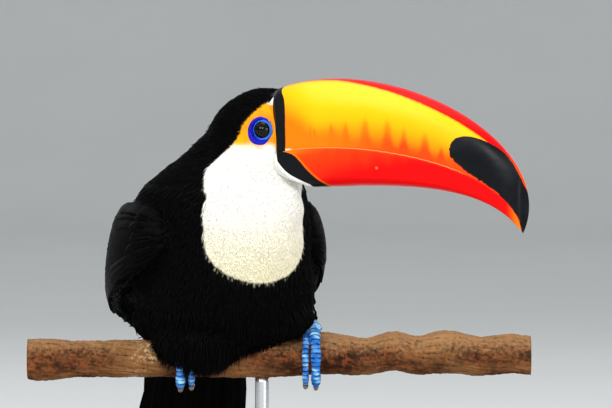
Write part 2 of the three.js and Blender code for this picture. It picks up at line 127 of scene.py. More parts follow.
def write_colours(mesh, name, colours):
    """One colour for each vertex, to be read by a material."""
    layer = mesh.attributes.new(name, "FLOAT_COLOR", "POINT")
    full = np.ones((len(colours), 4), dtype=np.float32)
    full[:, :3] = colours
    layer.data.foreach_set("color", full.ravel())


# %% [markdown]
# ## Skins over rings
# Bill, toes, claws, branch and rod are all a row of rings with a skin stretched over them. One
# function joins the rings and closes both ends, so each piece is a solid that holds water.

# %% Loft
def loft_faces(rings, around):
    """Quads between rows of a grid of points, row after row."""
    row, place = np.meshgrid(np.arange(rings - 1), np.arange(around), indexing="ij")
    a = row * around + place
    b = row * around + (place + 1) % around
    return np.stack([a, b, b + around, a + around], axis=-1).reshape(-1, 4)


def loft(rings):
    """Points, quads and end triangles of a closed solid over rings of shape (rows, around, 3)."""
    rows, around = rings.shape[:2]
    hubs = np.stack([rings[0].mean(axis=0), rings[-1].mean(axis=0)])
    points = np.concatenate([rings.reshape(-1, 3), hubs])
    place = np.arange(around)
    after = (place + 1) % around
    first = np.stack([np.full(around, rows * around), after, place], axis=-1)
    last_row = (rows - 1) * around
    last = np.stack([np.full(around, rows * around + 1), last_row + place, last_row + after], axis=-1)
    return points, loft_faces(rows, around), np.concatenate([first, last])


def facing_out(points, quads, triangles):
    """The same faces, turned over if the solid was inside out."""
    a, b, c, d = (points[quads[:, k]] for k in range(4))
    inside = (np.cross(b, c) * a).sum() + (np.cross(c, d) * a).sum()
    e, f, g = (points[triangles[:, k]] for k in range(3))
    inside += (np.cross(f, g) * e).sum()
    return (points, quads, triangles) if inside > 0 else (points, quads[:, ::-1], triangles[:, ::-1])


def normalised(vectors):
    return vectors / np.maximum(np.linalg.norm(vectors, axis=-1, keepdims=True), 1e-9)


def smoothstep(value, low, high):
    t = np.clip((value - low) / (high - low), 0.0, 1.0)
    return t * t * (3.0 - 2.0 * t)


def hump(value, middle, spread):
    """1 at the middle, falling off smoothly to both sides."""
    return np.exp(-(((value - middle) / spread) ** 2))


def along_list(stations, at, column=1):
    """A column's value at a place, in straight lines between the stations of a list."""
    stations = np.asarray(stations, dtype=float)
    return np.interp(at, stations[:, 0], stations[:, column])


def through(stations, t):
    """A smooth curve through a list of stations; t runs from 0 at the first to 1 at the last."""
    stations = np.asarray(stations, dtype=float)
    t = np.atleast_1d(np.clip(t, 0.0, 1.0)) * (len(stations) - 1)
    i = np.minimum(t.astype(int), len(stations) - 2)
    s = (t - i)[:, None]
    b, c = stations[i], stations[i + 1]
    rise = (c - stations[np.maximum(i - 1, 0)]) / 2
    fall = (stations[np.minimum(i + 2, len(stations) - 1)] - b) / 2
    cubic = 2 * b - 2 * c + rise + fall
    square = -3 * b + 3 * c - 2 * rise - fall
    return ((cubic * s + square) * s + rise) * s + b


def bezier(points, t):
    """A cubic curve of four points."""
    a, b, c, d = (np.asarray(p, dtype=float) for p in points)
    t = np.asarray(t)[..., None]
    return a * (1 - t) ** 3 + 3 * b * t * (1 - t) ** 2 + 3 * c * t**2 * (1 - t) + d * t**3


def inside_distance(points, outline):
    """Distance in the plane to a closed outline: above zero inside it, below zero outside."""
    ends = np.roll(outline, -1, axis=0)
    nearest = np.full(len(points), 1e9)
    crossings = np.zeros(len(points), dtype=int)
    for start, end in zip(outline, ends):
        edge = end - start
        reach = np.clip(((points - start) @ edge) / max(edge @ edge, 1e-12), 0, 1)
        nearest = np.minimum(nearest, np.linalg.norm(points - start - reach[:, None] * edge, axis=1))
        spans = (start[1] > points[:, 1]) != (end[1] > points[:, 1])
        rise = edge[1] if abs(edge[1]) > 1e-12 else 1e-12
        crossings += spans & (points[:, 0] < edge[0] * (points[:, 1] - start[1]) / rise + start[0])
    return np.where(crossings % 2 == 1, nearest, -nearest)


print("tools ready")

# %% [markdown]
# ## Small tools for finishes
# Node materials are drawn by wires in Blender's editor. Here one helper adds a node and plugs its
# inputs, and another turns any value into a soft mask, which is most of what a marking needs.

# %% Finish tools
def new_finish(name, **sockets):
    """A material with its principled shader's constant sockets set."""
    material = bpy.data.materials.new(name)
    material.use_nodes = True
    shader = material.node_tree.nodes["Principled BSDF"]
    for key, value in sockets.items():
        shader.inputs[key.replace("_", " ")].default_value = value
    return material, material.node_tree, shader


def add(tree, kind, inputs=None, **settings):
    """A node with its settings, and its inputs set or wired."""
    made = tree.nodes.new("ShaderNode" + kind)
    for key, value in settings.items():
        setattr(made, key, value)
    for key, value in (inputs or {}).items():
        if isinstance(value, bpy.types.NodeSocket):
            tree.links.new(value, made.inputs[key])
        else:
            made.inputs[key].default_value = value
    return made


def written(tree, name, output="Fac"):
    """A number, or with output "Color" a colour, that was written on the mesh."""
    return add(tree, "Attribute", attribute_name=name).outputs[output]


def soft_mask(tree, value, low, high):
    """0 below low and 1 above high, with a smooth step between; low may be the larger."""
    inputs = {"Value": value, "From Min": low, "From Max": high}
    return add(tree, "MapRange", inputs, interpolation_type="SMOOTHSTEP").outputs["Result"]


def stretched(tree, value, low, high, from_low=0.0, from_high=1.0):
    """A value moved in a straight line from one range to another."""
    inputs = {"Value": value, "From Min": from_low, "From Max": from_high, "To Min": low, "To Max": high}
    return add(tree, "MapRange", inputs).outputs["Result"]


def arithmetic(tree, operation, a, b=0.0):
    return add(tree, "Math", {0: a, 1: b}, operation=operation).outputs["Value"]


def times(tree, a, b):
    return arithmetic(tree, "MULTIPLY", a, b)


def ragged(tree, value, noise, amount):
    """A value with some noise added, so that its mask has an uneven edge."""
    return arithmetic(tree, "ADD", value, times(tree, noise, amount))


def blend_colours(tree, mask, under, over, blend_type="MIX"):
    """The colour under, covered by the colour over where the mask is 1."""
    mix = add(tree, "Mix", data_type="RGBA", blend_type=blend_type)
    for socket, value in ((mix.inputs[0], mask), (mix.inputs[6], under), (mix.inputs[7], over)):
        if isinstance(value, bpy.types.NodeSocket):
            tree.links.new(value, socket)
        else:
            socket.default_value = value
    return mix.outputs[2]


def layered(tree, ground, *coats):
    """A ground colour with coats laid over it in turn, each a mask and a colour."""
    for mask, colour in coats:
        ground = blend_colours(tree, mask, ground, colour)
    return ground


def shaded(tree, colour, share):
    """A colour made darker or lighter by a number."""
    tone = add(tree, "CombineColor", {"Red": share, "Green": share, "Blue": share}).outputs["Color"]
    return blend_colours(tree, 1.0, colour, tone, "MULTIPLY")


def object_noise(tree, scale, detail=3.0, stretch=(1.0, 1.0, 1.0), **more):
    """Noise fixed in the piece, so that it does not slide when the model is turned."""
    place = add(tree, "TexCoord").outputs["Object"]
    mapping = add(tree, "Mapping", {"Vector": place, "Scale": stretch})
    inputs = {"Vector": mapping.outputs[0], "Scale": scale, "Detail": detail, **more}
    return add(tree, "TexNoise", inputs).outputs["Fac"]


def length_of(tree, **parts):
    """Length of a vector given by its X, Y and Z parts."""
    vector = add(tree, "CombineXYZ", parts).outputs[0]
    return add(tree, "VectorMath", {0: vector}, operation="LENGTH").outputs["Value"]


def bump(tree, shader, height, strength, distance):
    """Fine relief from a height in the finish, for what is too small to model."""
    made = add(tree, "Bump", {"Strength": strength, "Distance": distance, "Height": height})
    tree.links.new(made.outputs["Normal"], shader.inputs["Normal"])


def feed(tree, shader, socket, value):
    tree.links.new(value, shader.inputs[socket])


# %% [markdown]
# ## The head's own frame
# The head is turned from the breast, so its parts are easiest to place in its own directions:
# u forward along the bill, w to the bird's right, and v up from the height of the branch.

# %% Head frame
HEAD_PLACE = np.array([20.7, -48.0, 170.0])
HEAD_TURN = np.radians(-25.0)
BILLWARD = np.array([np.cos(HEAD_TURN), np.sin(HEAD_TURN), 0.0])
RIGHTWARD = np.array([np.sin(HEAD_TURN), -np.cos(HEAD_TURN), 0.0])
UPWARD = np.array([0.0, 0.0, 1.0])


def to_head(points):
    """Columns u, w and v of points given in the common frame."""
    away = points - HEAD_PLACE
    return np.stack([away @ BILLWARD, away @ RIGHTWARD, away[:, 2]], axis=1)


def from_head(u, w, v):
    """Points in the common frame from u, w and v."""
    u, w, v = (np.asarray(value)[..., None] for value in (u, w, v))
    return HEAD_PLACE + u * BILLWARD + w * RIGHTWARD + v * UPWARD


def grid_from_head(grid):
    """The same for a grid whose points hold u, w and v."""
    return from_head(*np.moveaxis(grid, -1, 0))


# %% [markdown]
# ## Level sections of the trunk
# A bird's body is an egg, and its markings run round it. Each level section has a centre, two
# half-lengths and a heading, which turns from the breast's heading to the head's up the neck.

# %% Trunk levels
TRUNK_CENTRE = np.array([-25.0, 0.0, 0.0])
TRUNK_TURN = np.radians(18.0)
TRUNK_LEVELS = [
    # height, x, y, half-length, half-width, heading in degrees
    (177, -27, 10, 36, 43, 18),
    (186, -24, 14, 47, 54, 18),
    (202, -24, 9, 61, 57.5, 18),
    (225, -25, 3, 69, 58, 18),
    (250, -25, -3, 71, 56, 18),
    (270, -26, -10, 62, 55, 21),
    (286, -21.5, -18, 51, 47, 30),
    (301, -13, -28, 40, 33, 46),
    (314, -10, -33, 28, 24, 60),
]
LEVEL_CURVE = through(TRUNK_LEVELS, np.linspace(0, 1, 400))


def level_at(heights):
    """x, y, half-length, half-width and heading of the trunk's section at each height."""
    return [np.interp(heights, LEVEL_CURVE[:, 0], LEVEL_CURVE[:, k]) for k in range(1, 6)]


def trunk_vector(forward, right, up):
    """A direction given forward, to the bird's right and up, for the trunk's heading."""
    sine, cosine = np.sin(TRUNK_TURN), np.cos(TRUNK_TURN)
    x = forward * sine - right * cosine
    y = -forward * cosine - right * sine
    return np.stack([x, y, up + 0 * forward], axis=-1)


TRUNK_FORWARD = trunk_vector(np.array(1.0), np.array(0.0), 0.0)
TRUNK_RIGHT = trunk_vector(np.array(0.0), np.array(1.0), 0.0)


def round_the_trunk(points):
    """Bearing in degrees from the breast, positive to the bird's right, at each point's level."""
    x, y, long, wide, turn = level_at(points[:, 2])
    heading = np.radians(turn)
    away_x, away_y = points[:, 0] - x, points[:, 1] - y
    forward = (away_x * np.sin(heading) - away_y * np.cos(heading)) / long
    right = (-away_x * np.cos(heading) - away_y * np.sin(heading)) / wide
    return np.degrees(np.arctan2(right, forward))


# %% [markdown]
# ## Markings
# A toco toucan is black, with a white bib that turns cream low down, a bare orange face, a white
# patch over the tail and red feathers under it. A painted texture would tie the colours to one
# unwrap, so the markings are rules of place instead, and skin and feathers ask the same rules.

# %% Marking outlines
# u and v in millimetres, from the brow down the rear of the cheek to the breast
CHEEK_EDGE = [(-3, 174), (-9.5, 168.6), (-11, 163.6), (-14.5, 160.9), (-20.5, 155.2), (-25.2, 149),
              (-27.7, 142)]
RIGHT_EDGE = CHEEK_EDGE + [(-32, 134.8), (-39.5, 127.8), (-46.5, 118.5), (-50, 104), (-50, 88)]
LEFT_EDGE = CHEEK_EDGE + [(-30, 135), (-30, 128), (-25, 120.5), (-14, 113), (-5, 104), (-2, 88)]
FACE_FRONT = [(60, 88), (60, 173)]


def face_outline(edge):
    """The closed outline of the pale face, seen from the side, from its rear edge."""
    return np.concatenate([through(edge, np.linspace(0, 1, 70)), FACE_FRONT])


EYE_PLACE = {"u": -13.4, "v": 146.0}
ORANGE_FROM, ORANGE_FULL = 133.2, 138.6
DEEP_FROM, DEEP_FULL = 14.0, 8.5
BROW_WHITE, BROW_SOFT = 162.6, 0.8
FACE_FROM, FACE_FULL = 282.0, 293.0
BIB = {"aside": -5.0, "half": 38.5, "widest": 250.0, "below": 29.5, "flare_from": 274.0, "flare": 1.25}
CREAM_FROM, CREAM_FULL = 280.0, 218.0
RUMP = {"back": 50.0, "height": 205.0, "wide": 16.5, "tall": 27.0}
VENT = {"back_from": 33.0, "back_to": 60.0, "height": 189.0}

BLACK = np.array([0.0018, 0.0018, 0.0021])
WHITE = np.array([0.88, 0.87, 0.83])
CREAM = np.array([0.86, 0.80, 0.57])
ORANGE = np.array([0.98, 0.37, 0.004])
DEEP_ORANGE = np.array([0.95, 0.23, 0.003])
VENT_RED = np.array([0.55, 0.025, 0.015])


def bib_distance(points):
    """How far a point lies inside the pale bib and face, in about millimetres."""
    u, w, v = to_head(points).T
    height = points[:, 2]
    beside = np.stack([u, v], axis=1)
    aside = np.abs(round_the_trunk(points) - BIB["aside"])
    low = np.maximum(BIB["widest"] - height, 0) / BIB["below"]
    half = BIB["half"] + BIB["flare"] * np.maximum(height - BIB["flare_from"], 0)
    on_breast = half * (1 - np.sqrt((aside / half) ** 2 + low**2))
    right, left = (inside_distance(beside, face_outline(edge)) for edge in (RIGHT_EDGE, LEFT_EDGE))
    on_head = np.where(w > 0, right, left)
    share = smoothstep(height, FACE_FROM, FACE_FULL)
    return on_breast * (1 - share) + on_head * share


WAVES = [([1.7, 0.6, 1.1], 0.0), ([-0.8, 1.9, 0.7], 1.3), ([0.5, -1.2, 2.1], 4.1)]


def wander(points, size, seed=0.0):
    """A cheap smooth noise between -1 and 1, from a few crossed waves."""
    p = points / size + seed
    return sum(np.sin(p @ way + shift) for way, shift in WAVES) / len(WAVES)


def mixed(under, over, share):
    return under * (1 - share[:, None]) + over * share[:, None]


def face_and_bib(points):
    """White of the bib, creamy low down, with the bare orange face over it."""
    u, _, v = to_head(points).T
    white = mixed(WHITE, CREAM, smoothstep(points[:, 2], CREAM_FROM, CREAM_FULL))
    from_eye = np.hypot(u - EYE_PLACE["u"], v - EYE_PLACE["v"]) + 1.2 * wander(points, 2.0)
    orange = mixed(ORANGE, DEEP_ORANGE, smoothstep(from_eye, DEEP_FROM, DEEP_FULL) * 0.75)
    bare = smoothstep(v + 1.2 * wander(points, 2.6), ORANGE_FROM, ORANGE_FULL)
    bare *= 1 - smoothstep(v, BROW_WHITE - BROW_SOFT, BROW_WHITE + BROW_SOFT)
    return mixed(white, orange, bare)


def markings(points, wing):
    """Base colour of the plumage or bare skin at each point; wing is 1 where a wing covers it."""
    height = points[:, 2]
    bib = bib_distance(points) + 0.5 * wander(points, 1.1)
    colours = mixed(BLACK, face_and_bib(points), smoothstep(bib, -0.45, 0.45))
    aside = points - TRUNK_CENTRE
    back = -(aside @ TRUNK_FORWARD)
    across = aside @ TRUNK_RIGHT
    rump = 1 - np.hypot(across / RUMP["wide"], (height - RUMP["height"]) / RUMP["tall"])
    rump = smoothstep(rump, 0.0, 0.06) * smoothstep(back, RUMP["back"] - 2, RUMP["back"])
    vent = smoothstep(back, VENT["back_from"], VENT["back_from"] + 3)
    vent = vent * smoothstep(back, VENT["back_to"], VENT["back_to"] - 2)
    vent *= smoothstep(height, VENT["height"], VENT["height"] - 4)
    colours = mixed(mixed(colours, WHITE, rump), VENT_RED, vent)
    return mixed(colours, BLACK, smoothstep(wing, 0.3, 0.6) * (bib < 0))


print("markings ready")

# %% [markdown]
# ## The skin
# Under its feathers a bird has one unbroken skin. The solids of head, neck, trunk and wings are
# gathered and remeshed as one, as a sculptor fuses lumps of clay, then smoothed and drawn in by the
# depth of the plumage, which is least on the face.

# %% Gather and fuse the flesh
FLESH = ["head", "neck", "trunk", "wing_right", "wing_left"]
VOXEL = 0.0019
SMOOTHING = 9
BODY_DEPTH, FACE_DEPTH = 2.3, 0.7
HEAD_FROM, HEAD_FULL = 288.0, 300.0
NAPE_U, CHEEK_U = -42.0, -22.0


def triangle_corners(mesh, kind):
    """Three vertices, or three loops, for each triangle of a mesh."""
    mesh.calc_loop_triangles()
    corners = np.empty(len(mesh.loop_triangles) * 3, dtype=np.int32)
    mesh.loop_triangles.foreach_get(kind, corners)
    return corners.reshape(-1, 3)


def gather_nodes(names):
    """One mesh of all the triangles of these nodes, in millimetres."""
    points, faces, start = [], [], 0
    for name in names:
        mesh = frame["nodes"][name].data
        place = np.empty(len(mesh.vertices) * 3, dtype=np.float32)
        mesh.vertices.foreach_get("co", place)
        points.append(place.reshape(-1, 3) / MM)
        faces.append(triangle_corners(mesh, "vertices") + start)
        start += len(mesh.vertices)
    return make_mesh("flesh", np.concatenate(points), np.concatenate(faces))


def with_modifiers(mesh, *modifiers):
    """The mesh after a stack of modifiers, each a type and its settings."""
    carrier = bpy.data.objects.new("carrier", mesh)
    bpy.context.scene.collection.objects.link(carrier)
    for kind, settings in modifiers:
        modifier = carrier.modifiers.new(kind.lower(), kind)
        for key, value in settings.items():
            setattr(modifier, key, value)
    bpy.context.view_layer.update()
    finished = carrier.evaluated_get(bpy.context.evaluated_depsgraph_get())
    result = bpy.data.meshes.new_from_object(finished)
    bpy.data.objects.remove(carrier)
    return result


def mesh_points(mesh):
    place = np.empty(len(mesh.vertices) * 3, dtype=np.float32)
    mesh.vertices.foreach_get("co", place)
    return place.reshape(-1, 3).astype(float) / MM


def mesh_normals(mesh):
    lie = np.empty(len(mesh.vertices) * 3, dtype=np.float32)
    mesh.vertex_normals.foreach_get("vector", lie)
    return lie.reshape(-1, 3).astype(float)


fused = with_modifiers(
    gather_nodes(FLESH),
    ("REMESH", {"mode": "VOXEL", "voxel_size": VOXEL}),
    ("SMOOTH", {"factor": 0.5, "iterations": SMOOTHING}),
)
print("fused skin:", len(fused.vertices), "points")

# %% Draw the skin in by the plumage's depth
def plumage_depth(points):
    """How far the feathers stand over the skin, in millimetres."""
    on_head = smoothstep(points[:, 2], HEAD_FROM, HEAD_FULL)
    face = on_head * smoothstep(to_head(points)[:, 0], NAPE_U, CHEEK_U)
    return BODY_DEPTH + (FACE_DEPTH - BODY_DEPTH) * face


skin_points = mesh_points(fused)
skin_points = skin_points - mesh_normals(fused) * plumage_depth(skin_points)[:, None]
fused.vertices.foreach_set("co", (skin_points * MM).astype(np.float32).ravel())
fused.update()
skin_lie = mesh_normals(fused)
skin_triangles = triangle_corners(fused, "vertices")
skin_tree = BVHTree.FromPolygons(skin_points.tolist(), skin_triangles.tolist())
print("skin area in square mm:", round(sum(p.area for p in fused.polygons) / MM**2))

# %% [markdown]
# ## An unwrap of the skin
# Each feather will carry the colour of the spot where it grows. A flat map of the skin's own shape
# gives every root an address, whatever side of the bird it is on.

# %% Unwrap
ISLAND_ANGLE, ISLAND_GAP = 66, 0.004


def unwrap(mesh):
    """Blender's own unwrap by face angle; returns the map's place for each loop."""
    carrier = bpy.data.objects.new("carrier", mesh)
    bpy.context.scene.collection.objects.link(carrier)
    bpy.context.view_layer.objects.active = carrier
    carrier.select_set(True)
    mesh.uv_layers.new(name="OFBake")
    bpy.ops.object.mode_set(mode="EDIT")
    bpy.ops.mesh.select_all(action="SELECT")
    bpy.ops.uv.smart_project(angle_limit=np.radians(ISLAND_ANGLE), island_margin=ISLAND_GAP)
    bpy.ops.object.mode_set(mode="OBJECT")
    places = np.empty(len(mesh.loops) * 2, dtype=np.float32)
    mesh.uv_layers["OFBake"].uv.foreach_get("vector", places)
    bpy.data.objects.remove(carrier)
    return places.reshape(-1, 2)


loop_places = unwrap(fused)
triangle_loops = triangle_corners(fused, "loops")
skin_triangles = triangle_corners(fused, "vertices")
print("unwrap spans", loop_places.min(axis=0), loop_places.max(axis=0))

# %% [markdown]
# ## How the plumage lies
# Feathers point away from the bill, over the crown and down the throat, and then run down the
# body to the tail. On the wing they follow the wing. A field of directions says this once, and each
# feather lays itself along it.

# %% Wing curve
WING_STATIONS = [
    # bearing round the trunk, height, lift, trail, half-height and half-thickness
    (58, 250, -3, 0, 9, 4),
    (68, 249, 0, 0, 20, 8.5),
    (88, 243, 1, 0, 29, 9.5),
    (116, 227, 0, 2, 30, 9.5),
    (142, 208, 1, 7, 25, 7.5),
    (156, 184, 1, 21, 15, 4.5),
    (162, 157, 1, 36, 4, 1.6),
]
WING_LIFT = {1: 7.5, -1: -3.0}
WING_LOWEST = 192.0
WING_TILT = 0.2
WING_STEPS = 60
WING_SHARE = {"tall": 6.0, "thick": 3.0, "high": (1.08, 0.95), "out": (3.0, 1.8), "wrist": (-2.5, -0.5)}


def wing_centre(t, side):
    """Centre, outward direction and half-sizes of the folded wing at t from wrist to tip."""
    bearing, height, lift, trail, tall, thick = through(WING_STATIONS, t).T
    x, y, long, wide = level_at(np.maximum(height, WING_LOWEST))[:4]
    c, s = np.cos(np.radians(bearing)), side * np.sin(np.radians(bearing))
    outward = normalised(trunk_vector(c / long, s / wide, 0.0))
    centre = np.stack([x, y, height], axis=-1) + trunk_vector(c * long - trail, s * wide, 0.0)
    centre += outward * (lift + WING_LIFT[side] * s**4)[:, None]
    return centre, outward + UPWARD * WING_TILT, tall, thick


def wing_frame(t, side):
    """Centre and the along, outward and upward directions of the wing, with its half-sizes."""
    centre, outward, tall, thick = wing_centre(t, side)
    along = normalised(wing_centre(t + 0.03, side)[0] - wing_centre(t - 0.03, side)[0])
    outward = normalised(outward - along * (outward * along).sum(axis=1, keepdims=True))
    upward = normalised(np.cross(along, outward))
    upward *= np.sign(upward[:, 2:3])
    return centre, along, outward, upward, tall, thick


def on_wing(points, inner=-0.35):
    """For each point, how surely it lies on a folded wing (0 to 1), and the wing's run there."""
    best = np.zeros(len(points))
    run = np.zeros((len(points), 3))
    for side in (1, -1):
        centre, along, outward, upward, tall, thick = wing_frame(np.linspace(0, 1, WING_STEPS), side)
        tree = KDTree(WING_STEPS)
        for i, spot in enumerate(centre):
            tree.insert(spot, i)
        tree.balance()
        near = np.array([tree.find(point)[1] for point in points])
        away = points - centre[near]
        ahead = (away * along[near]).sum(axis=1)
        high = (away * upward[near]).sum(axis=1) / np.maximum(tall[near], WING_SHARE["tall"])
        out = (away * outward[near]).sum(axis=1) / np.maximum(thick[near], WING_SHARE["thick"])
        sure = smoothstep(np.abs(high), *WING_SHARE["high"]) * smoothstep(out, inner - 0.2, inner + 0.2)
        sure = sure * smoothstep(out, *WING_SHARE["out"]) * smoothstep(ahead, *WING_SHARE["wrist"])
        better = sure > best
        best[better], run[better] = sure[better], along[near][better]
    return best, run


DOWN_THE_BODY = np.array([-0.13, 0.40, -0.91])
NECK_FROM, NECK_FULL = 272.0, 302.0
THROAT_FROM, THROAT_FULL = 140.0, 118.0


def lie_of_plumage(points, normals, wing, run):
    """Unit directions in which the feathers run, in the skin's own surface."""
    on_head = smoothstep(points[:, 2], NECK_FROM, NECK_FULL)
    throat = smoothstep(to_head(points)[:, 2], THROAT_FROM, THROAT_FULL)
    back = -BILLWARD * (1.0 - 0.55 * throat)[:, None] - UPWARD * (0.28 + 0.9 * throat)[:, None]
    way = normalised(back) * on_head[:, None] + DOWN_THE_BODY * (1 - on_head)[:, None]
    way = way * (1 - wing)[:, None] + run * wing[:, None]
    yaw = 0.16 * wander(points, 9.0, 2.0) + 0.10 * wander(points, 3.0, 5.0)
    way = way + np.cross(normals, normalised(way)) * yaw[:, None]
    return normalised(way - normals * (way * normals).sum(axis=1, keepdims=True))


wing_spine = wing_centre(np.linspace(0, 1, WING_STEPS), 1)[0]
print("wing length in mm:", round(float(np.linalg.norm(np.diff(wing_spine, axis=0), axis=1).sum())))

# %% [markdown]
# ## The bill
# A toucan's bill is a hollow horn as light as cork, with a keel-like ridge, full flanks and a
# hooked tip. Two cubic curves give each half its outline. Lines from the ridge to the cutting edge
# are bulged out to the bill's width, which keeps the flanks smooth from every side.

# %% Bill shape
# the ridge, the cutting edge and the keel, each as the four points of a cubic curve in u and v
CULMEN = [(-9.2, 171.6), (59, 197.7), (185, 140.3), (155.3, 81.8)]
TOMIUM = [(-6, 131.6), (59, 142.8), (152.5, 123.5), (154.8, 84.3)]
KEEL = [(-6, 114), (-5, 100.6), (118.2, 129.6), (153.9, 85.2)]
BILL_HALF_WIDTH, BILL_LENGTH, BILL_PLAN = 20.0, 164.0, 1.55
BILL_ROWS, BILL_LINES = 170, 26
TIP, CROWD = 0.994, 1.2
FLANK = 0.6
LOWER_INSET = 0.12
ROOT_EDGE = {"u": -3.2, "brow": 150.0, "brow_span": 24.0, "brow_back": 6.0}
CHIN_EDGE = {"v": 126.0, "span": 17.0, "forward": 20.0, "bend": 2.2, "most": 1.2}
# rings that tuck the bill's root into the head: how far back, and how much narrower
TUCKED = [(6.0, 0.80), (1.6, 0.90), (0.5, 0.965)]
BEYOND_SEAM = 9.0


def root_edge(v):
    """Where the bill starts at a height v on the head."""
    brow = np.clip((v - ROOT_EDGE["brow"]) / ROOT_EDGE["brow_span"], 0, 1)
    chin = np.clip((CHIN_EDGE["v"] - v) / CHIN_EDGE["span"], 0, CHIN_EDGE["most"])
    swept = ROOT_EDGE["u"] - ROOT_EDGE["brow_back"] * brow**2
    return swept + CHIN_EDGE["forward"] * chin ** CHIN_EDGE["bend"]


def bill_half_width(u):
    t = np.clip((u - CULMEN[0][0]) / BILL_LENGTH, 0, 1)
    return BILL_HALF_WIDTH * np.sqrt(np.maximum(1 - t**BILL_PLAN, 0.0012))


def upper_bulge(f, t):
    """Share of the width from the ridge (0) to the cutting edge (1); rounder toward the tip."""
    power = 2.8 - 0.8 * smoothstep(t, 0.3, 0.9)
    rise = np.minimum(f / FLANK, 1)
    tuck = np.maximum(f - FLANK, 0) / (1 - FLANK)
    return (1 - (1 - rise) ** power) ** (1 / power) * (1 - 0.07 * tuck**2)


def lower_bulge(f, t):
    return 0.93 * (1 - (1 - f) ** 2.4) ** (1 / 2.4) + 0 * t


def seam_teeth(u):
    """Small steps along the cutting edge, strongest over the middle of the bill."""
    saw = (u / 6.5) % 1.0
    return 0.32 * (1 - saw) * smoothstep(saw, 0.0, 0.12) * smoothstep(u, 45, 70) * smoothstep(u, 150, 135)


def root_starts(outer, shares):
    """Where each line from the ridge to the seam first comes out of the head, along its curve."""
    fine = np.linspace(0, 0.4, 500)
    starts = []
    for share in shares:
        line = bezier(outer, fine) * (1 - share) + bezier(TOMIUM, fine) * share
        starts.append(fine[np.argmax(line[:, 0] > root_edge(line[:, 1]))])
    return np.array(starts)


def tucked_rings(first_row):
    """Smaller copies of the bill's first row, drawn back into the head."""
    rings = []
    for back, narrow in TUCKED:
        ring = first_row.copy()
        middle = ring[:, 2].mean()
        ring[:, 0] -= back
        ring[:, 1] *= narrow
        ring[:, 2] = middle + (ring[:, 2] - middle) * narrow
        rings.append(ring)
    return np.stack(rings)


def bill_half(outer, bulge, inset, teeth):
    """Grid of points of one half in u, w, v, with its distances from the ridge and the seam."""
    first = np.linspace(0, 1, BILL_LINES * 2 // 3)
    near_ridge = FLANK * (1 - np.cos(np.pi / 2 * first**1.25) ** 0.8)
    f = np.concatenate([near_ridge, np.linspace(FLANK, 1.0, BILL_LINES - len(first) + 1)[1:]])
    start = root_starts(outer, f)
    grow = 1 - (1 - np.linspace(0, 1, BILL_ROWS)) ** CROWD
    t = start[None, :] + (TIP - start[None, :]) * grow[:, None]
    edge, seam = bezier(outer, t), bezier(TOMIUM, t)
    outward = normalised(edge - seam)
    tall = np.linalg.norm(edge - seam, axis=-1)
    seam = seam + outward * inset - outward * (seam_teeth(seam[..., 0]) * teeth)[..., None]
    place = edge * (1 - f)[None, :, None] + seam * f[None, :, None]
    wide = bill_half_width(place[..., 0]) * bulge(f[None, :], t)
    wide[:, 0] = 0
    grid = np.stack([place[..., 0], wide, place[..., 1]], axis=-1)
    rows = np.concatenate([tucked_rings(grid[0]), grid])
    below = np.concatenate([np.zeros((len(TUCKED), BILL_LINES)), tall * f[None, :]])
    above = np.concatenate([np.full((len(TUCKED), BILL_LINES), BEYOND_SEAM), tall * (1 - f)[None, :]])
    mirror = rows[:, 1:][:, ::-1] * [1, -1, 1]
    full = np.concatenate([rows, mirror], axis=1)
    below, above = (np.concatenate([value, value[:, 1:][:, ::-1]], axis=1) for value in (below, above))
    return full, below, above


# height on the head, and how far forward the chin's feathers reach there
CHIN_LINE = [(104.0, 13.0), (109.0, 15.5), (111.7, 16.0), (114.1, 11.5), (117.8, 4.8), (120.9, 1.4),
             (125.9, -2.1), (131.5, -3.4)]


def past_chin(u, v):
    """How far a place on the bill lies behind the edge of the chin's feathers."""
    return along_list(CHIN_LINE, v) - u


lower_rings = grid_from_head(bill_half(KEEL, lower_bulge, LOWER_INSET, 0.0)[0])
lower_points, lower_quads, _ = facing_out(*loft(lower_rings))
body_faces = skin_triangles.tolist() + (lower_quads + len(skin_points)).tolist()
body_tree = BVHTree.FromPolygons(np.concatenate([skin_points, lower_points]).tolist(), body_faces)
print("bill shaped:", lower_rings.shape)

# %% [markdown]
# ## Choosing where feathers grow
# Scattering points at random leaves bald spots and heaps. Real feathers keep their distance, so
# many candidates are drawn and any that falls too near a kept one is dropped.

# %% Roots of the plumage
SEED = 11
BARE_EYE = {"u": -14.7, "v": 145.2, "wide": 7.1, "tall": 8.5}
CANDIDATES = 4.0
CHIN_ROWS = 60


def regions(points, wing):
    """The kind of plumage at each point, as an index into KINDS; a later rule wins."""
    u, _, v = to_head(points).T
    y, high = points[:, 1], points[:, 2]
    pale = bib_distance(points) > 0
    rules = {
        "back": (y > 12) & (high > 200),
        "belly": high < 205,
        "fluff": (high < 184) & (y < 26),
        "rump": (high < 240) & (y > 42),
        "nape": high > 284,
        "crown": (high > 298) & (u > -42),
        "bib": pale,
        "cheek": pale & (high > 284),
        "face": pale & (high > 300) & (v > ORANGE_FROM + 2.0),
        "covert": (wing > 0.5) & ~pale,
    }
    kinds = np.full(len(points), KINDS.index("breast"))
    for name, here in rules.items():
        kinds[here] = KINDS.index(name)
    return kinds


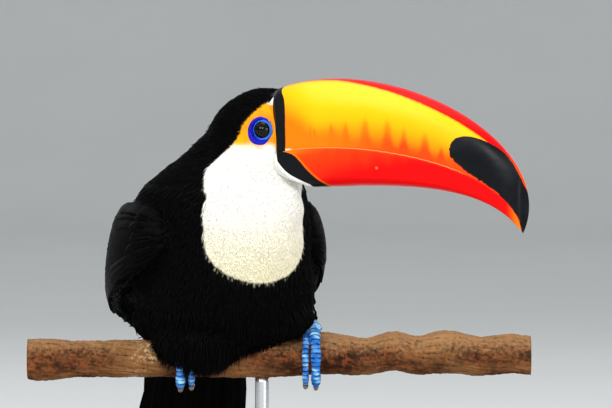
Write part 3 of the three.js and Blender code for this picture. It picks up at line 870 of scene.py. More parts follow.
# length, full width, spacing and tip lift in millimetres
PLUMAGE = {
    "breast": (9.0, 1.8, 1.15, 1.30),
    "back": (10.5, 2.6, 1.45, 1.35),
    "belly": (11.5, 1.7, 1.25, 1.80),
    "fluff": (15.0, 1.3, 1.15, 2.20),
    "rump": (12.5, 2.8, 1.60, 1.60),
    "nape": (6.5, 1.15, 0.95, 1.05),
    "crown": (5.0, 0.85, 0.80, 0.70),
    "bib": (4.6, 0.80, 0.62, 0.27),
    "cheek": (3.9, 0.75, 0.60, 0.26),
    "face": (1.8, 0.50, 0.55, 0.09),
    "covert": (9.0, 3.2, 1.90, 1.40),
}
KINDS = list(PLUMAGE)
SIZES = np.array([PLUMAGE[kind] for kind in KINDS])
CHEEK_SPACING = SIZES[KINDS.index("cheek"), 2]


def draw_candidates(rng):
    """Random spots over the skin, more of them where the feathers are small."""
    a, b, c = (skin_points[skin_triangles[:, k]] for k in range(3))
    area = np.linalg.norm(np.cross(b - a, c - a), axis=1) / 2
    middle = skin_points[skin_triangles].mean(axis=1)
    kinds = regions(middle, on_wing(middle)[0])
    counts = rng.poisson(area / SIZES[kinds, 2] ** 2 * CANDIDATES)
    triangle = np.repeat(np.arange(len(area)), counts)
    a, b = rng.random(len(triangle)), rng.random(len(triangle))
    fold = a + b > 1
    a[fold], b[fold] = 1 - a[fold], 1 - b[fold]
    share = np.stack([1 - a - b, a, b], axis=1)
    order = rng.permutation(len(triangle))
    return triangle[order], share[order]


def keep_apart(points, spacing):
    """Which points stay when each clears its own neighbourhood in turn."""
    tree = KDTree(len(points))
    for i, point in enumerate(points):
        tree.insert(point, i)
    tree.balance()
    kept = np.ones(len(points), dtype=bool)
    for i, point in enumerate(points):
        if kept[i]:
            for _, j, _ in tree.find_range(point, spacing[i]):
                if j > i:
                    kept[j] = False
    return kept


def chin_candidates(rng):
    """Random spots on the rear of the lower bill, where the chin's feathers run up over it."""
    first, last = len(TUCKED), CHIN_ROWS
    a, c = lower_rings[first:last, :-1], lower_rings[first:last, 1:]
    b = lower_rings[first + 1:last + 1, :-1]
    cross = np.cross(b - a, c - a).reshape(-1, 3)
    u, _, v = to_head(((b + c) / 2).reshape(-1, 3)).T
    behind = (past_chin(u, v) > 0.4) & (v < 131.0)
    count = rng.poisson(np.linalg.norm(cross, axis=1) * behind / CHEEK_SPACING**2 * CANDIDATES)
    chosen = np.repeat(np.arange(len(count)), count)
    slide = rng.random((len(chosen), 2))
    step, turn = (b - a).reshape(-1, 3)[chosen], (c - a).reshape(-1, 3)[chosen]
    spots = a.reshape(-1, 3)[chosen] + step * slide[:, :1] + turn * slide[:, 1:]
    out = normalised(cross[chosen])
    away = spots - HEAD_PLACE
    away = away - BILLWARD * (away @ BILLWARD)[:, None] - UPWARD * 124.0
    flip = np.sign((out * away).sum(axis=1))
    return spots, out * flip[:, None]


# %% Roots on the skin
rng = np.random.default_rng(SEED)
triangle, share = draw_candidates(rng)
roots = (skin_points[skin_triangles[triangle]] * share[:, :, None]).sum(axis=1)
wing, run = on_wing(roots)
kind = regions(roots, wing)
u, w, v = to_head(roots).T
clear = np.hypot((u - BARE_EYE["u"]) / BARE_EYE["wide"], (v - BARE_EYE["v"]) / BARE_EYE["tall"]) > 1
clear |= roots[:, 2] < 290
clear &= (u < root_edge(v) - 0.5) | (roots[:, 2] < 262)
kept = np.flatnonzero(clear)
kept = kept[keep_apart(roots[kept], SIZES[kind[kept], 2])]
roots, share, triangle = roots[kept], share[kept], triangle[kept]
kind, wing, run = kind[kept], wing[kept], run[kept]
normals = normalised((skin_lie[skin_triangles[triangle]] * share[:, :, None]).sum(axis=1))
addresses = (loop_places[triangle_loops[triangle]] * share[:, :, None]).sum(axis=1)
print("feathers on the skin:", len(roots))

# %% Roots on the chin
chin_spots, chin_normals = chin_candidates(rng)
kept = keep_apart(chin_spots, np.full(len(chin_spots), CHEEK_SPACING))
chin_spots, chin_normals = chin_spots[kept], chin_normals[kept]
nearest = [skin_tree.find_nearest(spot)[2] for spot in chin_spots]
roots, normals = np.concatenate([roots, chin_spots]), np.concatenate([normals, chin_normals])
addresses = np.concatenate([addresses, loop_places[triangle_loops[nearest]].mean(axis=1)])
kind = np.concatenate([kind, np.full(len(chin_spots), KINDS.index("cheek"))])
wing = np.concatenate([wing, np.zeros(len(chin_spots))])
run = np.concatenate([run, np.zeros((len(chin_spots), 3))])
way = lie_of_plumage(roots, normals, wing, run)
print("chin feathers on the bill:", len(chin_spots))
print("feathers:", {name: int((kind == i).sum()) for i, name in enumerate(KINDS)}, "in all", len(roots))

# %% [markdown]
# ## One small feather
# A feather could be a flat card with a cut-out picture, but a card has no thickness. Each one here
# is a thin closed blade: three four-sided rings and a pointed tip, roofed along its shaft. It is
# bent to the skin by asking the skin for the nearest place halfway along and at the tip.

# %% Bend and build the plumage
RING_PLACES = np.array([0.0, 0.42, 0.8])
RING_WIDTHS = np.array([0.42, 1.0, 0.66])
SHAFT_RISE, EDGE_DROP, BELLY_DROP = 0.13, 0.10, 0.03
ROOT_SINK = 0.35
LOOSE, LOOSE_LIFT = 0.05, 1.7
SMOOTH_BELOW = 0.5
PATCH = 0.003
HANGING = {"share": 0.75, "x": -33.0, "spread": 22.0, "extra": 0.55, "back_y": 14.0}


def follow_skin(points, way, reach):
    """Steps from each point along its way and back to the skin: new places, their normals and ways."""
    landed = np.empty_like(points)
    lie = np.empty_like(points)
    for i, point in enumerate(points + way * reach[:, None]):
        spot, normal, _, _ = body_tree.find_nearest(point)
        landed[i], lie[i] = spot, normal
    ahead = normalised(landed - points)
    return landed, lie, normalised(ahead - lie * (ahead * lie).sum(axis=1, keepdims=True))


def feather_faces():
    """Triangles of one small feather: 12 ring points, then the tip."""
    faces = [(0, 1, 2), (0, 2, 3)]
    for ring in (0, 4):
        for k in range(4):
            a, b = ring + k, ring + (k + 1) % 4
            faces += [(a, a + 4, b + 4), (a, b + 4, b)]
    faces += [(8 + k, 12, 8 + (k + 1) % 4) for k in range(4)]
    return np.array(faces)


def small_feathers(chosen, rng):
    """Points and triangles of the chosen small feathers."""
    start, up, ahead = roots[chosen], normals[chosen], way[chosen]
    length, width, _, lift = SIZES[kind[chosen]].T
    length = length * rng.uniform(0.82, 1.15, len(chosen))
    width = width * rng.uniform(0.85, 1.15, len(chosen))
    uneven = lift * rng.uniform(0.72, 1.12, len(chosen))
    loose = (rng.random(len(chosen)) < LOOSE) & (lift > 0.6)
    lift = uneven * np.where(loose, LOOSE_LIFT, 1.0)
    middle, middle_up, onward = follow_skin(start, ahead, length * 0.5)
    end, end_up, _ = follow_skin(middle, onward, length * 0.5)
    hangs = HANGING["share"] * (kind[chosen] == KINDS.index("fluff"))
    hangs = hangs * smoothstep(start[:, 1], HANGING["back_y"], 0.0)
    drop = HANGING["extra"] * hump(start[:, 0], HANGING["x"], HANGING["spread"])
    hung = middle + (onward * 0.4 - np.array([0.0, 0.0, 0.6])) * (length * (0.5 + drop))[:, None]
    end = end + (hung - end) * hangs[:, None]
    lean = rng.normal(0, 0.10, len(chosen)) * np.minimum(lift, 1.0)
    roof = np.where(lift < SMOOTH_BELOW, 0.7, 1.0)
    rings = []
    for place, wide in zip(np.append(RING_PLACES, 1.0), np.append(RING_WIDTHS, 0.0)):
        a, b, c = (1 - place) * (1 - 2 * place), 4 * place * (1 - place), place * (2 * place - 1)
        centre = start * a + middle * b + end * c
        raised = normalised(up * a + middle_up * b + end_up * c)
        height = -ROOT_SINK * (1 - place) ** 2 + lift * (1 - (1 - place) ** 2)
        centre = centre + raised * height[:, None]
        side = normalised(np.cross(raised, end - start) + raised * lean[:, None])
        half = (width * wide / 2)[:, None]
        if wide == 0:
            rings.append(centre[:, None, :])
            continue
        raised = raised * roof[:, None]
        over, under, droop = raised * SHAFT_RISE, raised * BELLY_DROP, raised * EDGE_DROP
        full = width[:, None]
        rings.append(np.stack([
            centre - side * half - droop * full, centre - under * full,
            centre + side * half - droop * full, centre + over * full], axis=1))
    points = np.concatenate(rings, axis=1)
    faces = feather_faces()[None] + (np.arange(len(chosen)) * points.shape[1])[:, None, None]
    return points.reshape(-1, 3), faces.reshape(-1, 3)


MARKED_AHEAD = 0.72
PALER_TO_TIP = np.array([0.90] * 4 + [0.98] * 4 + [1.01] * 4 + [1.03])


def feather_colours(points, chosen, rng):
    """A colour for each feather's 13 points: the marking where it lies, a little uneven."""
    points = points.reshape(len(chosen), -1, 3)
    start = roots[chosen][:, None, :]
    places = start + (points - start) * MARKED_AHEAD
    base = markings(places.reshape(-1, 3), np.repeat(wing[chosen], points.shape[1])).reshape(points.shape)
    even = rng.normal(1.0, 0.03, (len(chosen), 1, 1))
    return base * even * PALER_TO_TIP[None, :, None]


def patch_places(chosen):
    """Each feather's patch on the skin's map: along its length one way, across it the other."""
    across = np.array([0.0, 0.5, 1.0, 0.5] * 3 + [0.5]) - 0.5
    along = np.append(np.repeat(RING_PLACES, 4), 1.0)
    shape = np.stack([across, along - 0.5], axis=1) * PATCH
    shape[1::4, 0] += PATCH * 0.12
    return np.clip(addresses[chosen][:, None, :] + shape[None], 0.001, 0.999)


print("triangles in a small feather:", len(feather_faces()))

# %% [markdown]
# ## Finish of the plumage
# Feathers are keratin: black ones are softly glossy, white ones scatter light. A material for each
# colour would leave hard joins, so one finish takes its colour from the markings and breaks it a
# little from barb to barb.

# %% Plumage finish
plumage_finish, tree, shader = new_finish("plumage", Roughness=0.5, Specular_IOR_Level=0.024)
mottle = object_noise(tree, 900.0, 2.0)
colour = shaded(tree, written(tree, "marking", "Color"), stretched(tree, mottle, 0.92, 1.10))
feed(tree, shader, "Base Color", colour)
feed(tree, shader, "Roughness", stretched(tree, mottle, 0.42, 0.62))
print("finish made:", plumage_finish.name)

# %% Coat pieces
COAT_PARTS = {
    "coat_breast": ["breast"],
    "coat_belly": ["belly", "fluff", "rump"],
    "coat_back": ["back", "covert"],
    "coat_nape": ["nape", "crown"],
    "coat_bib": ["bib"],
    "coat_cheek": ["cheek", "face"],
}
MOST_TRIANGLES = 195000


def grow_coat(name, kinds, rng):
    """One coat piece, or several where it would pass the most triangles."""
    chosen = np.flatnonzero(np.isin(kind, [KINDS.index(k) for k in kinds]))
    chosen = chosen[np.lexsort((roots[chosen, 0] > -25, roots[chosen, 2].round(-1)))]
    parts = int(np.ceil(len(chosen) * len(feather_faces()) / MOST_TRIANGLES))
    made = []
    for number, part in enumerate(np.array_split(chosen, parts), start=1):
        points, faces = small_feathers(part, rng)
        full_name = name if parts == 1 else f"{name}_{number}"
        mesh = make_mesh(full_name, points, faces)
        write_colours(mesh, "marking", feather_colours(points, part, rng).reshape(-1, 3))
        places = patch_places(part).reshape(-1, 2)
        layer = mesh.uv_layers.new(name="OFBake")
        layer.uv.foreach_set("vector", places[faces.ravel()].astype(np.float32).ravel())
        piece = place_piece(full_name, mesh, plumage_finish)
        made.append(piece)
        print(full_name, len(faces), "triangles")
    return made


coat = []
for name, kinds in COAT_PARTS.items():
    coat += grow_coat(name, kinds, rng)

# %% [markdown]
# ## Large vanes of the wings and tail
# Flight feathers are stiff blades with a raised shaft, a broad inner web and a few splits between
# the barbs. They are long enough to be modelled one by one: a ring of nine points is drawn along
# each feather's path, so it keeps a real thickness.

# %% Vane tool
VANE_ROWS = 26
VANE_SHAPE = np.array([(-1.0, -0.10), (-0.5, 0.02), (-0.06, 0.10), (0.06, 0.10), (0.5, 0.02),
                       (1.0, -0.10), (0.45, -0.12), (0.0, -0.06), (-0.45, -0.12)])
NICK = {"depth": 0.22, "length": 0.012}
ROUNDED_FROM = 0.8


def vane_width(t, blunt):
    """Half-width along a vane, as a share: narrow at the quill, full, then rounded off."""
    rounding = np.clip((t - ROUNDED_FROM) / 0.2, 0, 1) ** blunt
    return (0.35 + 0.65 * smoothstep(t, 0.0, 0.3)) * np.clip(1 - rounding, 0.06, 1)


def build_vane(path, up, half_width, thickness, blunt, split):
    """A solid vane along a path; split is a few places where the web is nicked."""
    t = np.linspace(0, 1, len(path))
    ahead = normalised(np.gradient(path, axis=0))
    side = normalised(np.cross(up, ahead))
    half = half_width * vane_width(t, blunt)
    nick = np.ones(len(t))
    for spot in split:
        nick -= NICK["depth"] * hump(t, spot, NICK["length"])
    left = half * np.where(np.arange(len(t)) % 2 == 0, 1.0, 0.985)
    rings = []
    for across, over in VANE_SHAPE:
        reach = left * (nick if across > 0.4 else 1.0) * across
        rings.append(path + side * reach[:, None] + up * (over * thickness * 4)[..., None])
    return np.stack(rings, axis=1), t


def vane_piece(name, vanes):
    """One mesh of several vanes, with their length and web written for the finish."""
    around = len(VANE_SHAPE)
    points, quads, triangles, along, web, places = [], [], [], [], [], []
    start = 0
    for rings, t in vanes:
        solid, four, three = facing_out(*loft(rings))
        points.append(solid)
        quads.append(four + start)
        triangles.append(three + start)
        along.append(np.concatenate([np.repeat(t, around), [0.0, 1.0]]))
        web.append(np.concatenate([np.tile(VANE_SHAPE[:, 0], len(t)), [0.0, 0.0]]))
        nearest = skin_tree.find_nearest(rings[0].mean(axis=0).tolist())[2]
        address = loop_places[triangle_loops[nearest]].mean(axis=0)
        place = np.stack([web[-1] * 0.5, along[-1] - 0.5], axis=1)
        place[-2:, 1] *= 1.08
        place = np.clip(address, 2 * PATCH, 1 - 2 * PATCH) + place * PATCH
        places.append(place)
        start += len(solid)
    points, quads, triangles = np.concatenate(points), np.concatenate(quads), np.concatenate(triangles)
    mesh = make_mesh(name, points, quads, triangles)
    write_values(mesh, "along", np.concatenate(along))
    write_values(mesh, "web", np.concatenate(web))
    corners = np.empty(len(mesh.loops), dtype=np.int32)
    mesh.loops.foreach_get("vertex_index", corners)
    layer = mesh.uv_layers.new(name="OFBake")
    layer.uv.foreach_set("vector", np.concatenate(places)[corners].astype(np.float32).ravel())
    piece = place_piece(name, mesh, vane_finish)
    print(name, len(vanes), "vanes,", len(quads) * 2 + len(triangles), "triangles")
    return piece


# %% [markdown]
# ## Finish of the vanes
# The web of a large feather shows its barbs as fine slanting lines from shaft to edge. They are far
# too many to model, so they are a relief in the finish, measured along the vane itself.

# %% Vane finish
WEB_DARK, WEB_WORN = (0.0010, 0.0010, 0.0012, 1), (0.0021, 0.0021, 0.0026, 1)
WEB_EDGE, SHAFT_BLACK = (0.0045, 0.0035, 0.0030, 1), (0.0040, 0.0036, 0.0036, 1)
BARBS_ALONG, BARBS_SLANT = 520.0, -26.0

vane_finish, tree, shader = new_finish("flight_feather", Roughness=0.42, Specular_IOR_Level=0.014)
web = arithmetic(tree, "ABSOLUTE", written(tree, "web"))
slant = ragged(tree, times(tree, written(tree, "along"), BARBS_ALONG), web, BARBS_SLANT)
tone = soft_mask(tree, object_noise(tree, 240.0, 3.0), 0.2, 0.8)
wear_and_glints = blend_colours(tree, tone, WEB_DARK, WEB_WORN)
at_edge, at_shaft = soft_mask(tree, web, 0.86, 1.0), soft_mask(tree, web, 0.10, 0.04)
feed(tree, shader, "Base Color", layered(tree, wear_and_glints, (at_edge, WEB_EDGE), (at_shaft, SHAFT_BLACK)))
feed(tree, shader, "Roughness", stretched(tree, tone, 0.36, 0.50))
bump(tree, shader, arithmetic(tree, "SINE", slant), 0.25, 0.0002)
print("finish made:", vane_finish.name)

# %% [markdown]
# ## Folded wings
# Seen from the side a folded wing is rows of tiles: short coverts near the wrist, longer ones
# below, and the long flight feathers running out to the tip. Each row starts under the one before.

# %% Wing rows
# start and end along the wing, lowest and highest place across it at both, half-width, height
# over the wing, and how many vanes
WING_ROWS = [
    {"from": 0.34, "to": (1.02, 0.72), "low": (-0.82, -0.55), "high": (0.70, 0.60),
     "half": 5.0, "over": -0.9, "count": 14},
    {"from": 0.22, "to": (0.60, 0.50), "low": (-0.82, -0.80), "high": (0.72, 0.72),
     "half": 4.9, "over": -0.2, "count": 13},
    {"from": 0.12, "to": (0.40, 0.34), "low": (-0.80, -0.82), "high": (0.74, 0.74),
     "half": 4.5, "over": 0.4, "count": 13},
    {"from": 0.03, "to": (0.24, 0.20), "low": (-0.78, -0.80), "high": (0.74, 0.74),
     "half": 4.2, "over": 0.9, "count": 13},
]
WING_VANE = {"thick": 0.35, "blunt": 2.4}


def over_wing(t, high, over, side):
    """A place over the outer face of the folded wing, and the direction out of it."""
    centre, _, outward, upward, tall, thick = wing_frame(t, side)
    high = np.clip(high, -0.985, 0.985)
    bulge = np.sqrt(1 - high**2)
    place = centre + upward * (high * tall)[:, None] + outward * (bulge * (thick - 1.2) + over)[:, None]
    out = outward * (bulge / np.maximum(thick, 1))[:, None]
    return place, normalised(out + upward * (high / np.maximum(tall, 1))[:, None])


def between(ends, share):
    """The value at a share of the way from the first end to the second."""
    return ends[0] + (ends[1] - ends[0]) * share


def wing_vanes(side, rng):
    """The rows of one folded wing, each vane on its own path over the wing."""
    share = np.linspace(0, 1, VANE_ROWS)
    vanes = []
    for row in WING_ROWS:
        for number in range(row["count"]):
            q = number / (row["count"] - 1)
            first = row["from"] + rng.uniform(-0.01, 0.01)
            last = between(row["to"], q) + rng.uniform(-0.022, 0.022)
            t = np.linspace(first, last, VANE_ROWS)
            start = between((row["low"][0], row["high"][0]), q)
            end = between((row["low"][1], row["high"][1]), q)
            over = row["over"] + 0.7 * q + 0.5 * share - 3.2 * (1 - share) ** 6
            place, out = over_wing(t, between((start, end), share), over, side)
            split = rng.uniform(0.45, 0.9, 2)
            half = row["half"] * rng.uniform(0.94, 1.06)
            vanes.append(build_vane(place, out, half, WING_VANE["thick"], WING_VANE["blunt"], split))
    return vanes


for side, name in ((1, "wing_feathers_right"), (-1, "wing_feathers_left")):
    vane_piece(name, wing_vanes(side, rng))

# %% [markdown]
# ## Tail
# Ten long feathers make the tail, the middle pair on top and each next pair tucked under. Their
# tips are cut nearly square.

# %% Tail feathers
TAIL_RUN = [
    # back from the trunk's centre, height, half-width of the whole tail
    (-54, 212, 22), (-62, 186, 29), (-74, 146, 35.5), (-89, 92, 36), (-98, 62, 33.5), (-100.5, 53, 31),
]
TAIL_ASIDE = -1.5
TAIL_FEATHERS = 10
TAIL_HALF = 8.6
TAIL_VANE = {"thick": 0.4, "blunt": 5.0}
TAIL_LIE = (-0.96, 0.28)


def tail_vanes(rng):
    """The tail's feathers from one side to the other, stacked toward the middle."""
    deep = normalised(TRUNK_FORWARD * TAIL_LIE[0] + UPWARD * TAIL_LIE[1])
    vanes = []
    for number in range(TAIL_FEATHERS):
        q = (number - (TAIL_FEATHERS - 1) / 2) / ((TAIL_FEATHERS - 1) / 2)
        t = np.linspace(0.02, 1.0 - 0.02 * abs(q) ** 2 + rng.uniform(-0.006, 0.0), VANE_ROWS)
        back, height, wide = through(TAIL_RUN, t).T
        across = TAIL_ASIDE + q * (wide - TAIL_HALF + 0.6) * smoothstep(t, -0.25, 0.4)
        path = TRUNK_CENTRE + trunk_vector(back, across, height)
        stacked = (1 - abs(q)) * 2.2 - 1.1 - 2.6 * q * q
        path = path + deep * (stacked + 0.35 * (number % 2))
        up = np.tile(normalised(deep + TRUNK_RIGHT * 0.16 * q), (VANE_ROWS, 1))
        half = TAIL_HALF * rng.uniform(0.96, 1.04)
        split = rng.uniform(0.4, 0.95, 3)
        vanes.append(build_vane(path, up, half, TAIL_VANE["thick"], TAIL_VANE["blunt"], split))
    return vanes


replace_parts(vane_piece("tail_feathers", tail_vanes(rng)), "tail")

# %% [markdown]
# ## Colours of the bill
# The bill's colours are laid by distance: from the seam, from the ridge, and from the outlines of
# the black tip and the black chin. Each distance is worked out for every point of the mesh, so the
# finish can draw a crisp edge at any place without a picture.

# %% Bill markings
# outlines and lines in u and v, in millimetres
SPOT = [(111.2, 134), (114, 140.2), (121, 142.6), (131, 140.4), (142.5, 134), (150.5, 124.5),
        (156, 113.5), (163, 100), (166, 80), (158, 76), (155.2, 84), (153.2, 92.5), (148, 100.4),
        (138, 110.4), (124.5, 119.2), (114, 127.6), (111.2, 134)]
SPOT_OUTLINE = through(SPOT, np.linspace(0, 1, 90))[:-1]
CHIN_BLACK = [(-14, 133.2), (0.5, 132.4), (7.3, 130.6), (11.5, 127), (16.3, 121.2), (20.2, 116.8),
              (26, 111.6), (34, 106.0)]
CHIN_OUTLINE = np.concatenate([through(CHIN_BLACK, np.linspace(0, 1, 50)), [(40, 90), (-14, 90)]])
# place along the bill, and the red ridge's depth there
STRIPE = [(-10, 0.0), (14, 0.5), (35, 1.0), (50, 1.9), (66, 2.6), (84, 3.3), (104, 3.6), (124, 3.4),
          (142, 2.7), (155, 1.6), (170, 1.2)]
# place along the bill, height over the seam, half-width at the seam, and forward lean
TONGUES = [(19.6, 19, 1.1, 0.02), (24.6, 19, 1.7, -0.18), (34.4, 21, 3.0, -0.02), (43.8, 22, 3.0, 0.0),
           (56.4, 26, 4.6, 0.03), (71.5, 27, 4.4, 0.0), (82.0, 22, 3.6, 0.02), (95.5, 22, 4.4, 0.04),
           (106.0, 15, 3.0, 0.05)]
# height on the head, then the rear and front edges of the black band at the bill's root
BAND = [(131.0, -4.6, 2.4), (134.5, -3.9, 2.7), (139.5, -3.8, 3.1), (144.6, -4.1, 3.1), (149.8, -4.9, 3.1),
        (155.0, -6.3, 3.0), (159.4, -6.9, 2.7), (164.5, -7.4, 1.8), (167.0, -7.5, 0.4),
        (169.0, -7.6, -1.2), (172.0, -8.0, -3.0), (178.0, -8.0, -4.0)]


def tongues(u, above_seam):
    """Deeper orange tongues that rise from the seam and come to a point."""
    strongest = np.zeros_like(u)
    for place, tall, half, lean in TONGUES:
        left = np.clip(1 - above_seam / tall, 0, 1)
        half_here = half * (0.16 + 0.84 * left)
        centre = place + lean * above_seam
        tongue = np.exp(-np.abs((u - centre) / half_here) ** 1.8) * smoothstep(left, 0.0, 0.55)
        strongest = np.maximum(strongest, tongue)
    return strongest


def bill_piece(name, shape, finish, black_outline):
    """One half of the bill, with the distances that its finish reads written on it."""
    grid, below, above = shape
    solid, quads, triangles = facing_out(*loft(grid_from_head(grid)))
    mesh = make_mesh(name, solid, quads, triangles)
    flat = np.concatenate([grid.reshape(-1, 3), grid[0].mean(axis=0)[None], grid[-1].mean(axis=0)[None]])
    u, v = flat[:, 0], flat[:, 2]
    below = np.append(below.ravel(), [0.0, 0.0])
    above = np.append(above.ravel(), [BEYOND_SEAM, 0.0])
    measured = {
        "bill_u": u,
        "bill_v": v,
        "above_seam": above,
        "black": inside_distance(flat[:, [0, 2]], black_outline),
        "stripe": along_list(STRIPE, u) - below,
        "tongue": tongues(u, above),
        "band": along_list(BAND, v, 2) - u,
        "rim": along_list(BAND, v, 1) - u,
        "chin": past_chin(u, v),
    }
    for key, values in measured.items():
        write_values(mesh, key, values)
    piece = place_piece(name, mesh, finish)
    print(name, len(quads) * 2 + len(triangles), "triangles")
    return piece


# %% [markdown]
# ## Finish of the bill
# Living horn has a satin surface with colours under it. The upper half is yellow, orange at its
# root and along the cutting edge, with a red ridge and a black tip; the lower half is red. Masks
# from the distances written on the mesh lay one colour over another, with a little noise so that
# no edge is ruled.

# %% Upper bill finish
HORN = {"Roughness": 0.34, "Specular_IOR_Level": 0.075}
MEASURES = ("bill_u", "bill_v", "above_seam", "black", "stripe", "tongue", "band", "rim", "chin")
PALE_YELLOW = (0.82, 0.53, 0.030, 1)
YELLOW = (0.80, 0.47, 0.003, 1)
WARM_YELLOW = (0.80, 0.36, 0.002, 1)
TONGUE_ORANGE = (0.80, 0.15, 0.002, 1)
HORN_ORANGE = (0.80, 0.165, 0.002, 1)
FIRE = (0.80, 0.052, 0.003, 1)
SCARLET = (0.80, 0.030, 0.002, 1)
HORN_RED = (0.74, 0.0015, 0.0020, 1)
HORN_BLACK = (0.0045, 0.0050, 0.0065, 1)
WORN_BLACK = (0.008, 0.010, 0.013, 1)
PALE_EDGE = (0.90, 0.42, 0.10, 1)
CREAM_NICK = (0.92, 0.78, 0.50, 1)


def horn_base(name):
    """A bill finish with its noises and measured distances ready."""
    material, tree, shader = new_finish(name, **HORN)
    horn = {key: written(tree, key) for key in MEASURES}
    horn["fine"] = arithmetic(tree, "SUBTRACT", object_noise(tree, 420.0, 4.0), 0.5)
    horn["broad"] = arithmetic(tree, "SUBTRACT", object_noise(tree, 55.0, 3.0), 0.5)
    return material, tree, shader, horn


def horn_relief(tree, shader, horn):
    """Faint growth lines and small pits, and a surface that is not evenly polished."""
    feed(tree, shader, "Roughness", stretched(tree, horn["broad"], 0.27, 0.42, -0.3, 0.3))
    lines = object_noise(tree, 120.0, 3.0, (0.5, 0.5, 2.4))
    bump(tree, shader, ragged(tree, lines, horn["fine"], 0.35), 0.16, 0.0006)


def bare_rim(tree, horn):
    """The strip of face behind the band: orange, white at the brow, then black."""
    white = soft_mask(tree, horn["bill_v"], 161.0, 162.0)
    black = soft_mask(tree, ragged(tree, horn["bill_v"], horn["rim"], 1.15), 166.6, 167.2)
    below, over = soft_mask(tree, horn["bill_v"], 132.6, 133.8), soft_mask(tree, horn["bill_v"], 167.5, 166.0)
    mask = times(tree, times(tree, soft_mask(tree, horn["rim"], -0.2, 0.25), below), over)
    return mask, layered(tree, (*ORANGE, 1), (white, (*WHITE, 1)), (black, (*BLACK, 1)))


# %% Upper bill, from seam to ridge
upper_finish, tree, shader, horn = horn_base("bill_upper_horn")
root = soft_mask(tree, horn["bill_u"], 27.0, -2.0)
tongue = soft_mask(tree, ragged(tree, horn["tongue"], horn["fine"], 0.4), 0.05, 0.95)
high = ragged(tree, horn["above_seam"], horn["broad"], 6.0)
high = arithmetic(tree, "SUBTRACT", high, times(tree, root, 15.0))
high = arithmetic(tree, "SUBTRACT", high, times(tree, tongue, 5.0))
onward = soft_mask(tree, horn["bill_u"], 22.0, 84.0)
rosy = soft_mask(tree, ragged(tree, horn["stripe"], horn["fine"], 0.8), -1.5, 0.1)
flank = layered(
    tree, YELLOW,
    (soft_mask(tree, high, 24.0, 38.0), PALE_YELLOW),
    (soft_mask(tree, high, 29.0, 13.0), WARM_YELLOW),
    (soft_mask(tree, high, 18.5, 5.0), HORN_ORANGE),
    (times(tree, tongue, 0.42), TONGUE_ORANGE),
    (times(tree, soft_mask(tree, high, 9.5, 1.0), onward), FIRE),
    (times(tree, rosy, 0.6), HORN_ORANGE),
    (soft_mask(tree, ragged(tree, horn["stripe"], horn["fine"], 0.6), -0.25, 0.3), HORN_RED),
)

# %% Upper bill, edges and black places
low_down = soft_mask(tree, horn["bill_v"], 136.0, 122.0)
near_spot = times(tree, soft_mask(tree, horn["black"], -6.0, 0.0), low_down)
pale = times(tree, soft_mask(tree, horn["above_seam"], 0.75, 0.35), 0.8)
pale = times(tree, pale, soft_mask(tree, horn["bill_u"], 126.0, 112.0))
nick = times(tree, soft_mask(tree, horn["above_seam"], 1.5, 0.8), soft_mask(tree, horn["bill_u"], 8.0, 4.0))
chipped = times(tree, horn["fine"], stretched(tree, horn["above_seam"], 2.6, 0.4, 14.0, 22.0))
spot = soft_mask(tree, arithmetic(tree, "ADD", horn["black"], chipped), -0.25, 0.25)
spot_black = blend_colours(tree, soft_mask(tree, horn["broad"], -0.1, 0.2), HORN_BLACK, WORN_BLACK)
band = soft_mask(tree, ragged(tree, horn["band"], horn["fine"], 0.5), -0.2, 0.2)
colour = layered(
    tree, flank, (near_spot, FIRE), (pale, PALE_EDGE), (nick, CREAM_NICK), (spot, spot_black),
    (band, HORN_BLACK), bare_rim(tree, horn),
)
feed(tree, shader, "Base Color", colour)
horn_relief(tree, shader, horn)
print("finish made:", upper_finish.name)

# %% Lower bill
SPECK = {"u": 63.5, "v": 122.6, "reach": 1.3, "core": 0.3, "strength": 0.32}
lower_finish, tree, shader, horn = horn_base("bill_lower_horn")
far = ragged(tree, horn["bill_u"], horn["broad"], 24.0)
deep = ragged(tree, far, horn["above_seam"], 2.0)
deep = arithmetic(tree, "SUBTRACT", deep, times(tree, horn["tongue"], 10.0))
near_gape = times(tree, soft_mask(tree, far, 30.0, 4.0), soft_mask(tree, horn["above_seam"], 7.0, 0.5))
scar = soft_mask(tree, object_noise(tree, 33.0, 1.0), 0.73, 0.78)
along_bill = arithmetic(tree, "SUBTRACT", horn["bill_u"], SPECK["u"])
up_bill = arithmetic(tree, "SUBTRACT", horn["bill_v"], SPECK["v"])
off_speck = length_of(tree, X=along_bill, Y=up_bill)
speck = times(tree, soft_mask(tree, off_speck, SPECK["reach"], SPECK["core"]), SPECK["strength"])
colour = layered(
    tree, FIRE,
    (soft_mask(tree, deep, 10.0, 56.0), SCARLET),
    (soft_mask(tree, deep, 50.0, 104.0), HORN_RED),
    (near_gape, HORN_ORANGE),
    (times(tree, soft_mask(tree, horn["black"], -2.2, -0.4), 0.7), HORN_ORANGE),
    (soft_mask(tree, horn["bill_u"], 146.0, 155.0), HORN_ORANGE),
    (times(tree, scar, 0.3), PALE_EDGE),
    (speck, PALE_EDGE),
    (soft_mask(tree, ragged(tree, horn["black"], horn["fine"], 0.9), -0.2, 0.2), HORN_BLACK),
    (soft_mask(tree, horn["chin"], 0.5, 1.1), (*WHITE, 1)),
)
feed(tree, shader, "Base Color", colour)
horn_relief(tree, shader, horn)
print("finish made:", lower_finish.name)

# %% Make both halves
upper_shape = bill_half(CULMEN, upper_bulge, 0.0, 1.0)
lower_shape = bill_half(KEEL, lower_bulge, LOWER_INSET, 0.0)
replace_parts(bill_piece("bill_upper_horn", upper_shape, upper_finish, SPOT_OUTLINE), "bill_upper")
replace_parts(bill_piece("bill_lower_horn", lower_shape, lower_finish, CHIN_OUTLINE), "bill_lower")

